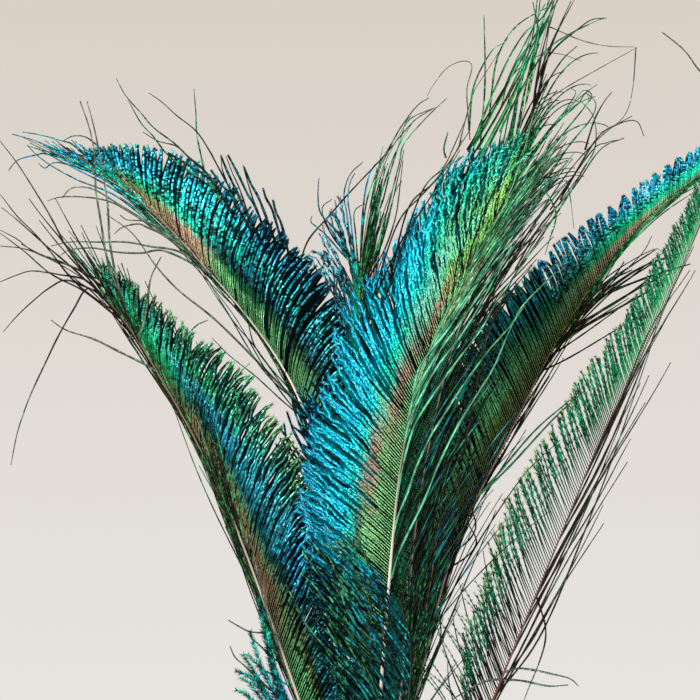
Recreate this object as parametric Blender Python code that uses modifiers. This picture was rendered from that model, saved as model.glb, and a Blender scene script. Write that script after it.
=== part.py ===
"""A spray of peacock sword feathers standing in a plain round vase.

Each feather is one solid: a tapering shaft, a one-sided vane whose outer edge is
split into locks, and a few long loose barbs. The quills stand on the vase's floor,
cross in its neck and lean on its lip. Units are metres and +Z is up; the origin is
the centre of the vase's foot, and the spray faces -Y.
"""

import bmesh
import bpy
import numpy as np
from mathutils import Vector

MM = 0.001

# Vase
VASE_HEIGHT = 110 * MM
VASE_WALL = 3.5 * MM
VASE_FLOOR = 6 * MM
VASE_STEPS = 24
# Outer radius at each height, from the foot to the lip, in mm
VASE_OUTLINE = ((0, 30), (8, 35.5), (24, 41.5), (42, 43.5), (62, 39.5), (80, 31.5), (95, 24.5), (107, 22.6))
LIP_RADIUS = 20.8 * MM
FOOT_BEVEL = 1.5 * MM

# Shafts
SHAFT_RADIUS = 1.25 * MM
SHAFT_TIP_RADIUS = 0.5 * MM
SHAFT_POINTS = 17
DIRECTION_STEP = 2 * MM

# Vanes
VANE_BASE_HEIGHT = 122 * MM
VANE_THICKNESS = 0.7 * MM
ROOT_OFFSET = 0.25 * MM
WEB_COLUMNS = (0.0, 0.58)
SHOULDER = 0.86
SHOULDER_INSET = 0.24
VANE_KEYS = (0.0, 0.08, 0.25, 0.5, 0.75, 1.0)
LOCK_JITTER = 0.05
JITTER_SEED = 7
BARB_CUP = 0.06
LEAST_BEND = 0.01

# Loose barbs
LOOSE_WIDTH = 1.1 * MM
LOOSE_SEGMENTS = 4
WELD_DISTANCE = 0.01 * MM

LEFT, RIGHT = 1, -1

# Every feather, front to back. shaft holds points (x, y, z) in mm up the shaft, from
# the quill's foot just above the vase's floor. Each vane hangs between two places v
# along the feather, from 0 at the lowest barb to 1 at the tip, on the dense side
# (side 1) or the other (-1). Its reach is the barbs' length in mm, and start and end
# are their angles to the shaft in degrees, at keys. turn is how far the face turns to
# the right at its base and at its tip; loose holds (v, tip x, y, z) of single barbs.
FEATHERS = {
    "feather_front_low": dict(
        shaft=((4, -14, 6.8), (2, -14, 110), (3, -20, 132), (4.5, -25, 148), (4.5, -30, 162), (1, -35, 175)),
        side=LEFT, turn=(0, 4),
        vanes=(dict(side=1, v=(0, 0.95), locks=16, keys=VANE_KEYS, reach=(25, 36, 41, 42, 38, 26),
                    start=(40, 45, 45, 42, 32, 20), end=(48, 52, 54, 50, 40, 25)),),
        loose=((0.45, 16, -32, 186), (0.70, 12, -35, 196)),
    ),
    "feather_centre": dict(
        shaft=((-12, -10, 6.8), (-6, -10, 110), (-4, -14, 143), (0, -22, 195), (3, -26, 219), (7, -29, 238),
               (19, -34, 265), (33, -38, 291), (41, -41, 320), (46, -42, 352)),
        side=LEFT, turn=(0, 8),
        vanes=(dict(side=1, v=(0, 0.73), locks=34, keys=(0, 0.08, 0.25, 0.34, 0.42, 0.50, 0.62, 0.68, 0.74),
                    reach=(14, 28, 34, 34, 36, 39, 39, 31, 20), start=(35, 52, 50, 50, 52, 50, 38, 26, 14),
                    end=(35, 50, 60, 60, 46, 30, 14, 8, 4)),
               dict(side=-1, v=(0.30, 0.72), locks=14, keys=(0.30, 0.74),
                    reach=(64, 46), start=(11, 8), end=(16, 22))),
        loose=((0.32, 37, -30, 252), (0.42, 50, -36, 275), (0.80, 60, -41, 341), (0.86, 63, -44, 346),
               (0.93, 56, -42, 360), (0.97, 50, -42, 366)),
    ),
    "feather_lower_left": dict(
        shaft=((23, -6, 6.8), (-16.6, -6, 110), (-28, -9, 142), (-44, -14, 187), (-56, -16, 215),
               (-76, -20, 250), (-90, -22, 266), (-109, -24, 277)),
        side=RIGHT, turn=(0, -8),
        vanes=(dict(side=1, v=(0, 0.83), locks=32, keys=(0, 0.08, 0.25, 0.5, 0.62, 0.74, 0.84),
                    reach=(15, 28, 35, 30, 24, 17, 12), start=(35, 42, 42, 38, 34, 30, 20),
                    end=(50, 60, 64, 62, 55, 42, 26)),),
        loose=((0.12, -45, -9, 158), (0.70, -91, -24, 317), (0.78, -113, -23, 210), (0.84, -115, -24, 249),
               (0.88, -117, -26, 305)),
    ),
    "feather_far_right": dict(
        shaft=((-25.5, -2, 6.8), (17.6, -2, 110), (30, -4, 142), (51, -9, 194), (62, -12, 221),
               (74, -14, 246), (89, -18, 280), (98, -22, 305)),
        side=LEFT, turn=(0, 6),
        vanes=(dict(side=1, v=(0, 0.96), locks=32, keys=VANE_KEYS, reach=(12, 22, 27, 18, 10, 7),
                    start=(35, 44, 45, 44, 42, 25), end=(30, 36, 38, 40, 42, 28)),),
        loose=((0.12, 55, -6, 144), (0.25, 63, -9, 194), (0.45, 92, -14, 268)),
    ),
    "feather_middle": dict(
        shaft=((-12, 2, 6.8), (-1.6, 2, 110), (2, 0, 141), (7, -3, 195), (15, -6, 237), (27, -8, 274),
               (38, -10, 314), (50, -11, 360)),
        side=LEFT, turn=(0, 0),
        vanes=(dict(side=1, v=(0, 0.70), locks=20, keys=(0, 0.08, 0.25, 0.5, 0.62, 0.72),
                    reach=(12, 20, 26, 26, 22, 16), start=(30, 38, 42, 40, 30, 14),
                    end=(35, 42, 46, 44, 32, 10)),),
        loose=((0.45, 60, -6, 300), (0.60, 68, -8, 322), (0.86, 36, -10, 347)),
    ),
    "feather_back_left": dict(
        shaft=((-11, 5.5, 6.8), (-11, 5.5, 110), (-11, 6, 170), (-10.8, 7, 231), (-10, 8, 262),
               (-8, 9.5, 284), (-4, 10.5, 299), (5, 12, 317)),
        side=LEFT, turn=(0, -4),
        vanes=(dict(side=1, v=(0.24, 0.46), locks=8, keys=(0.24, 0.46),
                    reach=(31, 28), start=(34, 30), end=(52, 46)),
               dict(side=1, v=(0.58, 0.74), locks=8, keys=(0.58, 0.74),
                    reach=(36, 27), start=(10, 20), end=(20, 34)),
               dict(side=-1, v=(0.60, 0.84), locks=6, keys=(0.60, 0.84),
                    reach=(50, 30), start=(9, 8), end=(16, 14))),
        loose=((0.70, 17, 12, 322), (0.80, -8, 11, 303)),
    ),
    "feather_right": dict(
        shaft=((-25, 9, 6.8), (-1, 9, 110), (7, 10, 140), (18, 13, 183), (35, 15, 219), (53, 18, 253),
               (71, 22, 278), (95, 26, 300), (112, 29, 312)),
        side=LEFT, turn=(0, 8),
        vanes=(dict(side=1, v=(0, 0.97), locks=35, keys=VANE_KEYS, reach=(14, 26, 36, 30, 14, 8),
                    start=(20, 25, 38, 50, 54, 30), end=(25, 32, 48, 56, 56, 35)),),
        loose=((0.55, 66, 16, 249), (0.60, 78, 18, 274), (0.63, 90, 19, 276)),
    ),
    "feather_upper_left": dict(
        shaft=((10, 13, 6.8), (-3, 13, 110), (-8, 16, 145), (-15, 19, 185), (-25, 21, 222), (-37, 24, 246),
               (-59, 29, 273), (-83, 34, 296), (-116, 40, 313)),
        side=RIGHT, turn=(0, -6),
        vanes=(dict(side=1, v=(0, 0.87), locks=35, keys=(0, 0.08, 0.25, 0.5, 0.75, 0.88),
                    reach=(14, 24, 32, 34, 27, 9), start=(30, 40, 45, 46, 42, 24),
                    end=(60, 75, 78, 64, 48, 20)),),
        loose=((0.55, -103, 30, 293), (0.62, -102, 26, 280), (0.80, -86, 31, 326), (0.76, -75, 29, 325)),
    ),
}


def clear_scene():
    for obj in list(bpy.data.objects):
        bpy.data.objects.remove(obj)


def collection(name):
    made = bpy.data.collections.new(name)
    bpy.context.scene.collection.children.link(made)
    return made


def material(name, colour, roughness, metallic=0.0):
    made = bpy.data.materials.new(name)
    made.use_nodes = True
    shader = made.node_tree.nodes["Principled BSDF"]
    shader.inputs["Base Color"].default_value = (*colour, 1.0)
    shader.inputs["Roughness"].default_value = roughness
    shader.inputs["Metallic"].default_value = metallic
    return made


def smooth_path(keys, per_span=24):
    """Points of a Catmull-Rom curve through the keys, as an array."""
    keys = np.asarray(keys, float)
    padded = np.vstack([2 * keys[0] - keys[1], keys, 2 * keys[-1] - keys[-2]])
    t = np.linspace(0, 1, per_span, endpoint=False)[:, None]
    spans = []
    for a, b, c, d in zip(padded[:-3], padded[1:-2], padded[2:-1], padded[3:]):
        bend = (2 * a - 5 * b + 4 * c - d) * t**2 + (3 * b - a - 3 * c + d) * t**3
        spans.append(0.5 * (2 * b + (c - a) * t + bend))
    return np.vstack([*spans, keys[-1:]])


def unit(v):
    return v / np.linalg.norm(v)


class Feather:
    """The surface of one feather's vane, measured along its shaft and along its barbs."""

    def __init__(self, shape):
        self.shape = shape
        self.path = smooth_path(shape["shaft"]) * MM
        steps = np.linalg.norm(np.diff(self.path, axis=0), axis=1)
        self.run = np.concatenate([[0], np.cumsum(steps)])
        self.length = self.run[-1]
        self.vane_start = np.interp(VANE_BASE_HEIGHT, self.path[:, 2], self.run)

    def at(self, distance):
        """The shaft's centre at this distance from the quill's foot."""
        return np.array([np.interp(distance, self.run, self.path[:, i]) for i in range(3)])

    def distance(self, v):
        """How far up the shaft v lies, from 0 at the vane's base to 1 at the feather's tip."""
        return self.vane_start + v * (self.length - self.vane_start)

    def axes(self, v):
        """The shaft's direction, the way across the vane, and the way that its face looks."""
        here = self.distance(v)
        along = unit(self.at(min(here + DIRECTION_STEP, self.length)) - self.at(here - DIRECTION_STEP))
        turn = np.radians(np.interp(v, (0, 1), self.shape["turn"]))
        across = unit(np.cross((np.sin(turn), -np.cos(turn), 0), along)) * self.shape["side"]
        facing = np.cross(along, across) * self.shape["side"]
        return along, across, facing

    def barb_point(self, vane, v, u, longer=1.0):
        """A point on the barb that leaves the shaft at v, from u = 0 at its root to 1 at its tip.

        The barb is an arc that turns evenly from its start angle to its end angle."""
        reach, start, end = (np.interp(v, vane["keys"], vane[name]) for name in ("reach", "start", "end"))
        length = reach * MM * longer
        start = np.radians(start)
        bend = np.radians(end) - start + LEAST_BEND
        now = start + bend * u
        forward = length * (np.sin(now) - np.sin(start)) / bend
        out = length * (np.cos(start) - np.cos(now)) / bend
        along, across, facing = self.axes(v)
        across = across * vane["side"]
        back = BARB_CUP * length * u * u
        root = self.at(self.distance(v)) + ROOT_OFFSET * across
        return Vector(root + forward * along + out * across - back * facing)

    def loose_point(self, v, tip, u):
        """A point on a loose barb that leaves the shaft at v and bends away to its tip."""
        along, across, _ = self.axes(v)
        root = self.at(self.distance(v)) - ROOT_OFFSET * across
        tip = np.asarray(tip, float) * MM
        knee = root + 0.5 * np.linalg.norm(tip - root) * along
        return root * (1 - u) ** 2 + knee * 2 * u * (1 - u) + tip * u * u


def add_comb(mesh, feather, vane, jitter):
    """A vane as one open sheet: a web beside the shaft that splits into pointed locks."""
    locks = vane["locks"]
    stations = np.linspace(*vane["v"], locks + 1)
    web = [[mesh.verts.new(feather.barb_point(vane, v, u)) for u in WEB_COLUMNS] for v in stations]
    for i in range(locks):
        for j in range(len(WEB_COLUMNS) - 1):
            mesh.faces.new((web[i][j], web[i + 1][j], web[i + 1][j + 1], web[i][j + 1]))
        low, high = stations[i], stations[i + 1]
        middle = (low + high) / 2
        longer = 1 + jitter.uniform(-LOCK_JITTER, LOCK_JITTER)
        inset = (high - low) * SHOULDER_INSET
        lower = mesh.verts.new(feather.barb_point(vane, low + inset, SHOULDER, longer))
        upper = mesh.verts.new(feather.barb_point(vane, high - inset, SHOULDER, longer))
        tip = mesh.verts.new(feather.barb_point(vane, middle, 1.0, longer))
        mesh.faces.new((web[i][-1], web[i + 1][-1], upper, lower))
        mesh.faces.new((lower, upper, tip))


def add_loose_barb(mesh, feather, v, tip):
    """A loose barb as a narrow ribbon that ends in a point."""
    _, _, facing = feather.axes(v)
    centre = [feather.loose_point(v, tip, u) for u in np.linspace(0, 1, LOOSE_SEGMENTS + 1)]
    rows = []
    for i in range(LOOSE_SEGMENTS):
        sideways = unit(np.cross(facing, centre[i + 1] - centre[i])) * LOOSE_WIDTH / 2
        pair = (centre[i] - sideways, centre[i] + sideways)
        rows.append([mesh.verts.new(Vector(place)) for place in pair])
    point = mesh.verts.new(Vector(centre[-1]))
    for low, high in zip(rows[:-1], rows[1:]):
        mesh.faces.new((low[0], low[1], high[1], high[0]))
    mesh.faces.new((rows[-1][0], rows[-1][1], point))


def add_vane(name, feather, helpers, jitter):
    """The vane and the loose barbs, as sheets with their real thickness."""
    mesh = bmesh.new()
    for vane in feather.shape["vanes"]:
        add_comb(mesh, feather, vane, jitter)
    for v, *tip in feather.shape["loose"]:
        add_loose_barb(mesh, feather, v, tip)
    data = bpy.data.meshes.new(name + "_vane")
    mesh.to_mesh(data)
    mesh.free()
    obj = bpy.data.objects.new(name + "_vane", data)
    helpers.objects.link(obj)
    obj.hide_render = True
    obj.display_type = "WIRE"
    thick = obj.modifiers.new("thickness", "SOLIDIFY")
    thick.thickness = VANE_THICKNESS
    thick.offset = 0
    return obj


def add_shaft(name, feather, parts):
    """The quill and shaft as a tapering round tube, made a mesh so that the vane can join it."""
    curve = bpy.data.curves.new(name, "CURVE")
    curve.dimensions = "3D"
    curve.bevel_depth = SHAFT_RADIUS
    curve.bevel_resolution = 1
    curve.use_fill_caps = True
    spline = curve.splines.new("POLY")
    spline.points.add(SHAFT_POINTS - 1)
    taper_start = feather.vane_start / feather.length
    for point, share in zip(spline.points, np.linspace(0, 1, SHAFT_POINTS)):
        point.co = (*feather.at(share * feather.length), 1)
        point.radius = np.interp(share, (taper_start, 1), (1, SHAFT_TIP_RADIUS / SHAFT_RADIUS))
    tube = bpy.data.objects.new(name + "_tube", curve)
    parts.objects.link(tube)
    graph = bpy.context.evaluated_depsgraph_get()
    data = bpy.data.meshes.new_from_object(tube.evaluated_get(graph))
    welded = bmesh.new()
    welded.from_mesh(data)
    bmesh.ops.remove_doubles(welded, verts=welded.verts, dist=WELD_DISTANCE)
    welded.to_mesh(data)
    welded.free()
    shaft = bpy.data.objects.new(name, data)
    shaft.matrix_world = tube.matrix_world
    parts.objects.link(shaft)
    bpy.data.objects.remove(tube)
    return shaft


def add_feather(name, shape, parts, helpers, looks, jitter):
    feather = Feather(shape)
    vane = add_vane(name, feather, helpers, jitter)
    shaft = add_shaft(name, feather, parts)
    join = shaft.modifiers.new("vane", "BOOLEAN")
    join.operation = "UNION"
    join.object = vane
    join.use_self = True
    shaft.data.materials.append(looks)


def vase_profile():
    """(radius, height) pairs from the middle of the inner floor, over the lip, to the middle of the foot."""
    outline = np.array(VASE_OUTLINE, float) * MM
    heights, radii = outline[:, 0], outline[:, 1]
    inner_heights = [VASE_FLOOR, *heights[2:]]
    inner = [(np.interp(h, heights, radii) - VASE_WALL, h) for h in inner_heights]
    lip = [(LIP_RADIUS, VASE_HEIGHT)]
    outer = [(r, h) for h, r in zip(heights[::-1], radii[::-1]) if h > 0]
    foot = [(radii[0], FOOT_BEVEL), (radii[0] - FOOT_BEVEL, 0)]
    return [(0, VASE_FLOOR), *inner, *lip, *outer, *foot, (0, 0)]


def add_vase(parts, looks):
    """The vase as a turned profile."""
    mesh = bmesh.new()
    points = [mesh.verts.new((radius, 0, height)) for radius, height in vase_profile()]
    for first, second in zip(points[:-1], points[1:]):
        mesh.edges.new((first, second))
    data = bpy.data.meshes.new("vase")
    mesh.to_mesh(data)
    mesh.free()
    vase = bpy.data.objects.new("vase", data)
    parts.objects.link(vase)
    turned = vase.modifiers.new("turned", "SCREW")
    turned.steps = turned.render_steps = VASE_STEPS
    turned.use_merge_vertices = True
    turned.merge_threshold = WELD_DISTANCE
    vase.data.materials.append(looks)


def main():
    clear_scene()
    parts = collection("peacock feathers in a vase")
    helpers = collection("helpers")
    ceramic = material("ceramic", (0.80, 0.77, 0.71), 0.35)
    plume = material("plume", (0.02, 0.30, 0.28), 0.45, 0.3)
    add_vase(parts, ceramic)
    for order, (name, shape) in enumerate(FEATHERS.items()):
        jitter = np.random.default_rng(JITTER_SEED + order)
        add_feather(name, shape, parts, helpers, plume, jitter)


main()
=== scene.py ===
import math

import bpy
import numpy as np
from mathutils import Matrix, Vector


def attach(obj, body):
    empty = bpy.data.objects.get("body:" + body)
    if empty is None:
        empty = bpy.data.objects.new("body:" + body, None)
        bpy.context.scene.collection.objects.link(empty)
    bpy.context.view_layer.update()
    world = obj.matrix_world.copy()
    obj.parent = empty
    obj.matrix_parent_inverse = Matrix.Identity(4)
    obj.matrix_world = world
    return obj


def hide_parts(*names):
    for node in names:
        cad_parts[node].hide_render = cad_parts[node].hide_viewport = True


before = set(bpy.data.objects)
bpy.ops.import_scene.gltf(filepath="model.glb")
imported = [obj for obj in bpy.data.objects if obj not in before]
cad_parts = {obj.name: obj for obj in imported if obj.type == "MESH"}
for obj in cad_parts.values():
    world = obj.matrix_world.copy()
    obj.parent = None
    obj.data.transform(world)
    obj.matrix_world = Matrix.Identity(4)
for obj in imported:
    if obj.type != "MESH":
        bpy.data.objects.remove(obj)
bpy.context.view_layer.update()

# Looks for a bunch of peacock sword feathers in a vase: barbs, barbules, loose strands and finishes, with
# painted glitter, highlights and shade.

MM = 0.001
SEED = 11
TINY = 1e-12
LEFT, RIGHT = 1, -1
DENSE, THIN = 1, -1

# ---------------------------------------------------------------- camera and picture plane
CAMERA_PLACE = (-12.9 * MM, -900 * MM, 246 * MM)
PICTURE_WIDTH = 210 * MM
PICTURE_PIXELS = 700
SENSOR_WIDTH = 36.0
CLIP_END = 10

# ---------------------------------------------------------------- feathers' sizes
VANE_BASE_HEIGHT = 122 * MM
VANE_KEYS = (0.0, 0.08, 0.25, 0.5, 0.75, 1.0)
PATH_STEPS = 24
FRAME_STATIONS = 400
DIRECTION_STEP = 2 * MM
# Shaft radius in mm at places along the feather: -QUILL_SPAN is the quill's end, 0 to 1 is the vane
QUILL_SPAN = 0.6
SHAFT_TAPER = ((-0.6, 0.9), (-0.5, 1.2), (-0.1, 1.1), (0, 0.72), (0.3, 0.46), (0.6, 0.34), (1, 0.18))
SHAFT_FLATNESS = 0.9
SHAFT_SIDES = 12
SHAFT_RINGS = 90
BARB_HALF_WIDTH = 0.21 * MM
BARB_RIDGE = 0.14 * MM
BARB_CUP = 0.06
BARB_HOLD = 2
# Between these shares of its length a barb widens from its root's width to its own
ROOT_WIDENING = (0.1, 0.4)
CURL_POWER = 5
# BACKING_*: the dark sheet of painted shade under the barbs, how far behind them it lies, its ridge and
# taper. BACK_*: the barbs' dull backs behind it
BACKING_OFFSET = 0.45 * MM
BACKING_RIDGE = 0.12 * MM
BACKING_TAPER = 0.15
BACK_GAP = 0.2 * MM
BACK_SHARE = 0.55
SHADE_SHEET_STEPS = 13
STRAND_STEPS = 44
STRAND_KEY_STEPS = 12
STRAND_TWIST = 35
STRAND_TWIST_LENGTH = 16 * MM
STRAND_DRIFT = 7 * MM
# A listed strand is bent to the shaft when it starts within this many pixels of it
ROOT_REACH = 24
ROOT_POWER = 4

# ---------------------------------------------------------------- how much barbs differ
# (least, most) as shares of the usual value
CLUMP_SIZES = (0.6, 1.5)
CLUMP_PULLS = (0.3, 1.3)
TWIST_RATES = (0.6, 1.5)
DRIFTS = (0.2, 1)
FAN_LENGTHS = (0.72, 1.08)
FAN_CURLS = (0, 1.6)
BARBULE_LENGTHS = (0.7, 1.2)
BARBULE_LEANS = (0.75, 1.25)
# Radians: how far a wave runs along a barb, how far it bends a fan's barbs, and the spreads of turns
WAVE_RATES = (2, 7)
FAN_WAVE = 0.08
BARBULE_TILT = 0.35
BARB_ROLL = 0.25
# Degrees. Where it leaves the shaft a barb strays by a share of its tip's stray, up to a most value
ROOT_STRAY = 1.2
ROOT_STRAY_SHARE = 0.6
FAN_ROOT_STRAY = 1.5
CLUMP_ROLL = 18
BARB_LIFT = 0.3 * MM
# Barbs over which the lengths, the end angles and the rolls change
LENGTH_SPACING, ANGLE_SPACING, ROLL_SPACING = 5, 6, 9
# Single barbs are mostly shorter than their neighbours, seldom longer
SINGLE_SHARE = 0.7
SINGLE_LENGTHS = (-1, 0.6)
# A tuft of barbules is as long as its middle plus its swing, from 0 to 1
TUFT_MIDDLE, TUFT_SWING = 0.35, 0.8

# ---------------------------------------------------------------- the texture's rows
# Every barb has a row of its own. Across it lie the strip, the tips of the barbules and the back.
BARB_ROW = (0.40, 0.5, 0.60)
BARBULE_TIPS = (0.02, 0.98)
BACK_ROW = (0.90, 0.93, 0.96)
BACK_FROM = 0.8

# ---------------------------------------------------------------- finishes, with painted glitter, highlights and shade
NOISE_BAND = (0.35, 0.65)
ROUGH_BAND = (0.3, 0.7)
# Barbules whose noise lies in this band get a painted highlight
GLINT_BAND = (0.8, 0.95)
# How often the tint and the single barbules change, for one change of the dashes and across a row
HUES_PER_DASH = 0.8
BLADES_PER_DASH = 3.0
BLADES_PER_ROW = 2.0
TINT_RAMP = 0.2
# Near the roots the painted dashes are lifted by CALM_LIFT over CALM_RAMP, so fewer are painted dark
CALM_RAMP = 0.15
CALM_LIFT = 0.25
# Painted shade between the barbs is darkest at their roots and lightens between these shares of their length
SHADE_SHEET_FADE = (0.1, 0.4)
STAIN_BAND = (0.2, 0.8)
BARB_ROUGHNESS = (0.6, 0.38)
BARB_SPECULAR = 0.12
SHADE_SHEET_ROUGHNESS = 0.8
SHAFT_ROUGHNESS = (0.32, 0.5)
GLAZE_ROUGHNESS = (0.35, 0.5)
QUILL_SHARE, VANE_SHARE = 0.33, 0.67
SHAFT_STREAKS = 0.12
SHAFT_STAIN = 0.22
SPECK_SCALE, CLOUD_SCALE = 900.0, 40.0
SPECK_BAND = (0.62, 0.70)
CLOUD_BAND = (0.3, 0.8)
CLOUD_STAIN = 0.25

# ---------------------------------------------------------------- vase
VASE_HEIGHT = 110 * MM
VASE_WALL = 3.5 * MM
VASE_FLOOR = 6 * MM
# Outer radius at each height, from the foot to the lip, in mm
VASE_OUTLINE = ((0, 30), (8, 35.5), (24, 41.5), (42, 43.5), (62, 39.5), (80, 31.5), (95, 24.5), (107, 22.6))
VASE_STEPS = 8
VASE_SEGMENTS = 96
FLAT_FLOOR = 0.9
LIP_RADIUS = 20.8 * MM
LIP_INNER = 0.6 * MM
LIP_OUTER = 0.9 * MM
LIP_DROP = 0.5 * MM
FOOT_BEVEL = 1.5 * MM

# ---------------------------------------------------------------- studio
FLOOR_RADIUS = 1.2
FLOOR_SIDES = 96
FLOOR_SCALE = 6.0
FLOOR_ROUGHNESS = 0.9
# Places and sizes in metres, energies in watts
LIGHT_TARGET = (0, 0, 0.25)
LIGHTS = {
    "key": dict(place=(-0.9, -1.1, 1.1), size=0.4, energy=55, colour=(1.0, 0.97, 0.92)),
    "fill": dict(place=(1.1, -1.0, 0.5), size=1.0, energy=8, colour=(0.92, 0.96, 1.0)),
}
# The backdrop changes from one colour to the other this far below and above the horizon
BACKDROP_BAND = 0.12
BACKDROP_BELOW = (0.80, 0.78, 0.75, 1)
BACKDROP_ABOVE = (0.70, 0.63, 0.56, 1)

# ---------------------------------------------------------------- colours, as sRGB
PALETTE = {
    "pale_green": (0.47, 0.71, 0.47),
    "sage": (0.36, 0.62, 0.50),
    # glint is the colour of the painted highlights on the brightest barbules
    "glint": (0.60, 1.0, 0.97),
    "leaf_green": (0.27, 0.58, 0.35),
    "fern": (0.38, 0.66, 0.43),
    "grass": (0.42, 0.66, 0.30),
    "lime": (0.55, 0.78, 0.40),
    "mint": (0.36, 0.72, 0.56),
    "aqua": (0.42, 0.72, 0.66),
    "emerald": (0.03, 0.58, 0.34),
    "turquoise": (0.06, 0.78, 0.66),
    "cyan": (0.00, 0.80, 0.93),
    "azure": (0.00, 0.56, 0.78),
    "deep_teal": (0.01, 0.32, 0.36),
    "teal_dark": (0.01, 0.22, 0.24),
    "navy": (0.01, 0.14, 0.24),
    "bronze": (0.60, 0.50, 0.42),
    "brown": (0.40, 0.31, 0.24),
    "olive": (0.34, 0.42, 0.20),
    "moss": (0.30, 0.44, 0.30),
    "pine": (0.07, 0.33, 0.22),
    "dark_brown": (0.19, 0.15, 0.11),
    "olive_dark": (0.20, 0.26, 0.13),
    "grey_brown": (0.42, 0.40, 0.34),
    "grey_green": (0.38, 0.46, 0.39),
    "black_green": (0.04, 0.08, 0.08),
    "dark_teal": (0.02, 0.13, 0.15),
    "black_teal": (0.00, 0.05, 0.06),
    "dull_brown": (0.44, 0.38, 0.32),
    "dull_green": (0.34, 0.40, 0.34),
    "cream": (0.84, 0.81, 0.77),
    "ivory": (0.96, 0.93, 0.88),
    "red_brown": (0.42, 0.26, 0.20),
    "beige": (0.68, 0.63, 0.58),
    "floor_dark": (0.68, 0.66, 0.63),
    "floor_pale": (0.72, 0.70, 0.67),
    "clay": (0.83, 0.80, 0.74),
    "clay_speck": (0.55, 0.48, 0.40),
}

# How barbs look unless a vane says otherwise.
# Their run: pitch lies between two barbs (mm), and each has steps spans. Their tips are drawn together
# in clumps of about clump, by a pull that goes from the first value to the second along the vane and
# is left more to the tips the higher grip is. uneven is how far their lengths differ, sway and stray
# (degrees) how far their end angles do and fluff (mm) how far they rise. wave and crinkle (radians)
# bend them, and bend above 1 leaves most of a barb's turn to its tip.
# Their width: width is a share of BARB_HALF_WIDTH, root_width and taper the shares of that at the root
# and the tip. backing is half the width (mm) of the dark sheet of painted shade under the barbs, which it
# holds longer the higher hold is.
# Barbules: they begin at the share bare of a barb, stand blade_pitch apart, are blade_width wide and
# blade long at even places from root to tip (mm), and lean by degrees. tuft is a tuft's length (mm).
# Colour: ragged is how far a zone's colours shift along a barb. tint of the two tints is mixed in from
# tint_from on. dash sets how fine the dashes of painted glitter and shade are, patch how far they gather,
# contrast the band of noise from painted dark to full light, and up to calm there are few dark ones.
# sparkle is the least and most painted light of a barbule and glint how much of a painted highlight the
# brightest get. Up to shade, across its row, a barb is painted in shade with only shade_depth of its
# light, with an edge as soft as shade_soft. under is the lit colour of the dark sheet of painted shade
# under the barbs.
BARB_LOOK = dict(
    pitch=0.75, clump=3, pull=(0.35, 0.35), grip=6, uneven=0.05, sway=4, wave=0.10, crinkle=0.10, fluff=0.5,
    lean=32, width=1.35, blade=(0.2, 0.5, 0.8, 0.8), blade_pitch=0.30, blade_width=0.28, backing=0.95, tuft=0,
    bare=0.0, stray=2.0, bend=1, hold=4, steps=26,
    taper=0.45, ragged=0.22, dash=20, patch=0.35, tints=("turquoise", "azure"), tint=0.5, tint_from=0.35,
    sparkle=(0.5, 1.35), glint=0.35, contrast=(0.42, 0.58), dark=0.06, calm=0.25, shade=0.42, shade_soft=0.1,
    shade_depth=0.2, metallic=0.5, under="dark_teal", root_width=0.6,
)

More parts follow.
